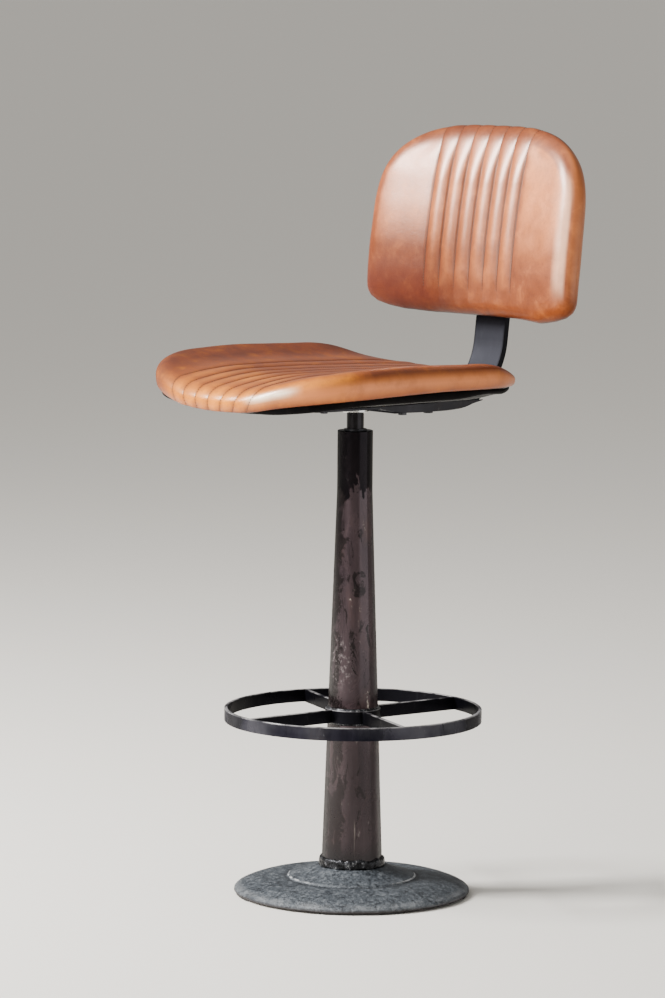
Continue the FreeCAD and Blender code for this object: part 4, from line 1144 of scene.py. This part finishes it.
    # painted shade on the lower left
    set_attr(o, "streak", 0.50 * smooth((95.0 - h) / 70.0) * smooth((-v[:, 0] - 40.0) / 90.0) * (pr < 1.5))
    set_attr(o, "matte", 0.95 * smooth((46.0 - h) / 38.0) * smooth((pr - 0.02) / 0.16) * (pr < 1.5))
    print("back cloth moved", inflate(o, pad.q, hold, 2.0 * MM, 3.0))
    subdivide(o, 1)
    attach(o, "seat_assembly")
    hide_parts("back_foam", "back_front_cover", "back_rear_pad", "back_rear_cover")
    co = coords(o.data) / MM
    mn = np.zeros(len(co) * 3)
    o.data.vertices.foreach_get("normal", mn)
    mn = mn.reshape(-1, 3)
    verts, faces = [], []
    for s in SEAM_X:
        i = int(np.argmin(np.abs(pad.cols - s)))
        col = [i * (pad.nv + 1) + j for j in range(3, pad.nv + 1)]
        kr = pad.per.index((i, pad.nv))
        over = [int(pad.loops[n][kr]) for n in range(1, 15)]
        ids = col + over
        vs, fs = stitch_run(co[ids], mn[ids])
        faces += [tuple(a + len(verts) for a in f) for f in fs]
        verts += vs
    # the rear panel's own seam, sewn all round
    ids = [int(n) for n in pad.loops[19]]
    ids.append(ids[0])
    vs, fs = stitch_run(co[ids], mn[ids], pitch=4.6, length=3.3, lift=0.1)
    faces += [tuple(a + len(verts) for a in f) for f in fs]
    verts += vs
    st = mesh_object("back_stitching", to_metres(verts), faces, THREAD)
    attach(st, "seat_assembly")
    return o


# ---------------------------------------------------- bead at the column's foot
def make_bead():
    n, m = 260, 14
    rng = np.random.default_rng(7)

    def lumps(every, size):
        c = rng.normal(0.0, size, n // every)
        return np.interp(np.arange(n), np.arange(0, n + 1, every), np.append(c, c[0]))

    wide, fine, tall = lumps(10, 1.0), lumps(2, 0.8), lumps(5, 1.0)
    verts, faces = [], []
    for i in range(n):
        a = 2 * math.pi * i / n
        for j in range(m):
            t = j / (m - 1)
            ang = math.pi / 2 * t
            rip = (0.40 * wide[i] + 0.45 * fine[i] + 0.35 * fine[(i * 7 + j * 31) % n]) * math.sin(math.pi * min(1.0, 0.15 + t * 0.85))
            r = 44.2 + (4.9 + 0.55 * rip) * math.cos(ang) ** 0.55
            z = 41.8 + (13.4 + 0.9 * tall[i] + 0.5 * rip) * math.sin(ang) ** 0.8
            bulge = 1.0 * math.sin(math.pi * t)
            r += bulge * 0.5
            z += bulge * 0.5
            verts.append((r * math.cos(a), r * math.sin(a), z))
        verts.append((43.6 * math.cos(a), 43.6 * math.sin(a), 55.0))
        verts.append((43.6 * math.cos(a), 43.6 * math.sin(a), 41.8))
    w = m + 2
    for i in range(n):
        k = (i + 1) % n
        for j in range(w):
            l = (j + 1) % w
            faces.append((i * w + j, k * w + j, k * w + l, i * w + l))
    o = mesh_object("column_weld_bead", to_metres(verts), faces, WELD)
    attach(o, "stand")
    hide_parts("column_weld")
    return o


make_seat()
make_shell()
make_back()
make_bead()


# ------------------------------------------------------------ floor, light
def make_floor():
    k = Mat("floor")
    m = k.done((0.85, 0.82, 0.765), 0.7, 0.0, Specular_IOR_Level=0.15)
    s = 8000.0
    v = [(-s, -s, 0), (s, -s, 0), (s, s, 0), (-s, s, 0)]
    o = mesh_object("floor", v, [(0, 1, 2, 3)], m)


def area(name, where, aim, size, power, color=(1, 1, 1)):
    l = bpy.data.lights.new(name, "AREA")
    l.shape = "RECTANGLE"
    l.size, l.size_y = size
    l.energy = power
    l.color = color
    o = bpy.data.objects.new(name, l)
    bpy.context.scene.collection.objects.link(o)
    w, t = Vector(where), Vector(aim)
    o.location = w
    o.rotation_euler = (t - w).to_track_quat("-Z", "Y").to_euler()
    o.visible_camera = False
    return o


make_floor()
area("window", (-1.94, -2.67, 2.95), (0.0, 0.05, 1.0), (1.10, 1.25), 480, (1.0, 0.985, 0.965))
area("window_low", (-1.94, -2.67, 1.95), (0.0, 0.05, 1.0), (1.10, 0.75), 42, (1.0, 0.985, 0.965))
area("front", (0.35, -3.60, 1.40), (0.0, 0.0, 0.85), (1.6, 1.4), 50, (1.0, 0.985, 0.96))
area("fill", (2.76, 0.90, 0.45), (0.0, 0.0, 0.45), (3.2, 0.9), 15, (0.97, 0.98, 1.0))
sky = bpy.data.lights.new("sky", "SUN")
sky.energy = 0.9
sky.angle = math.radians(70.0)
sky.color = (1.0, 0.99, 0.97)
sun = bpy.data.objects.new("sky", sky)
bpy.context.scene.collection.objects.link(sun)
sun.rotation_euler = Vector((0.30, 0.45, -1.0)).to_track_quat("-Z", "Y").to_euler()

world = bpy.data.worlds.new("room")
bpy.context.scene.world = world
world.use_nodes = True
bg = world.node_tree.nodes["Background"]
bg.inputs[0].default_value = (0.92, 0.90, 0.86, 1.0)
bg.inputs[1].default_value = 0.34
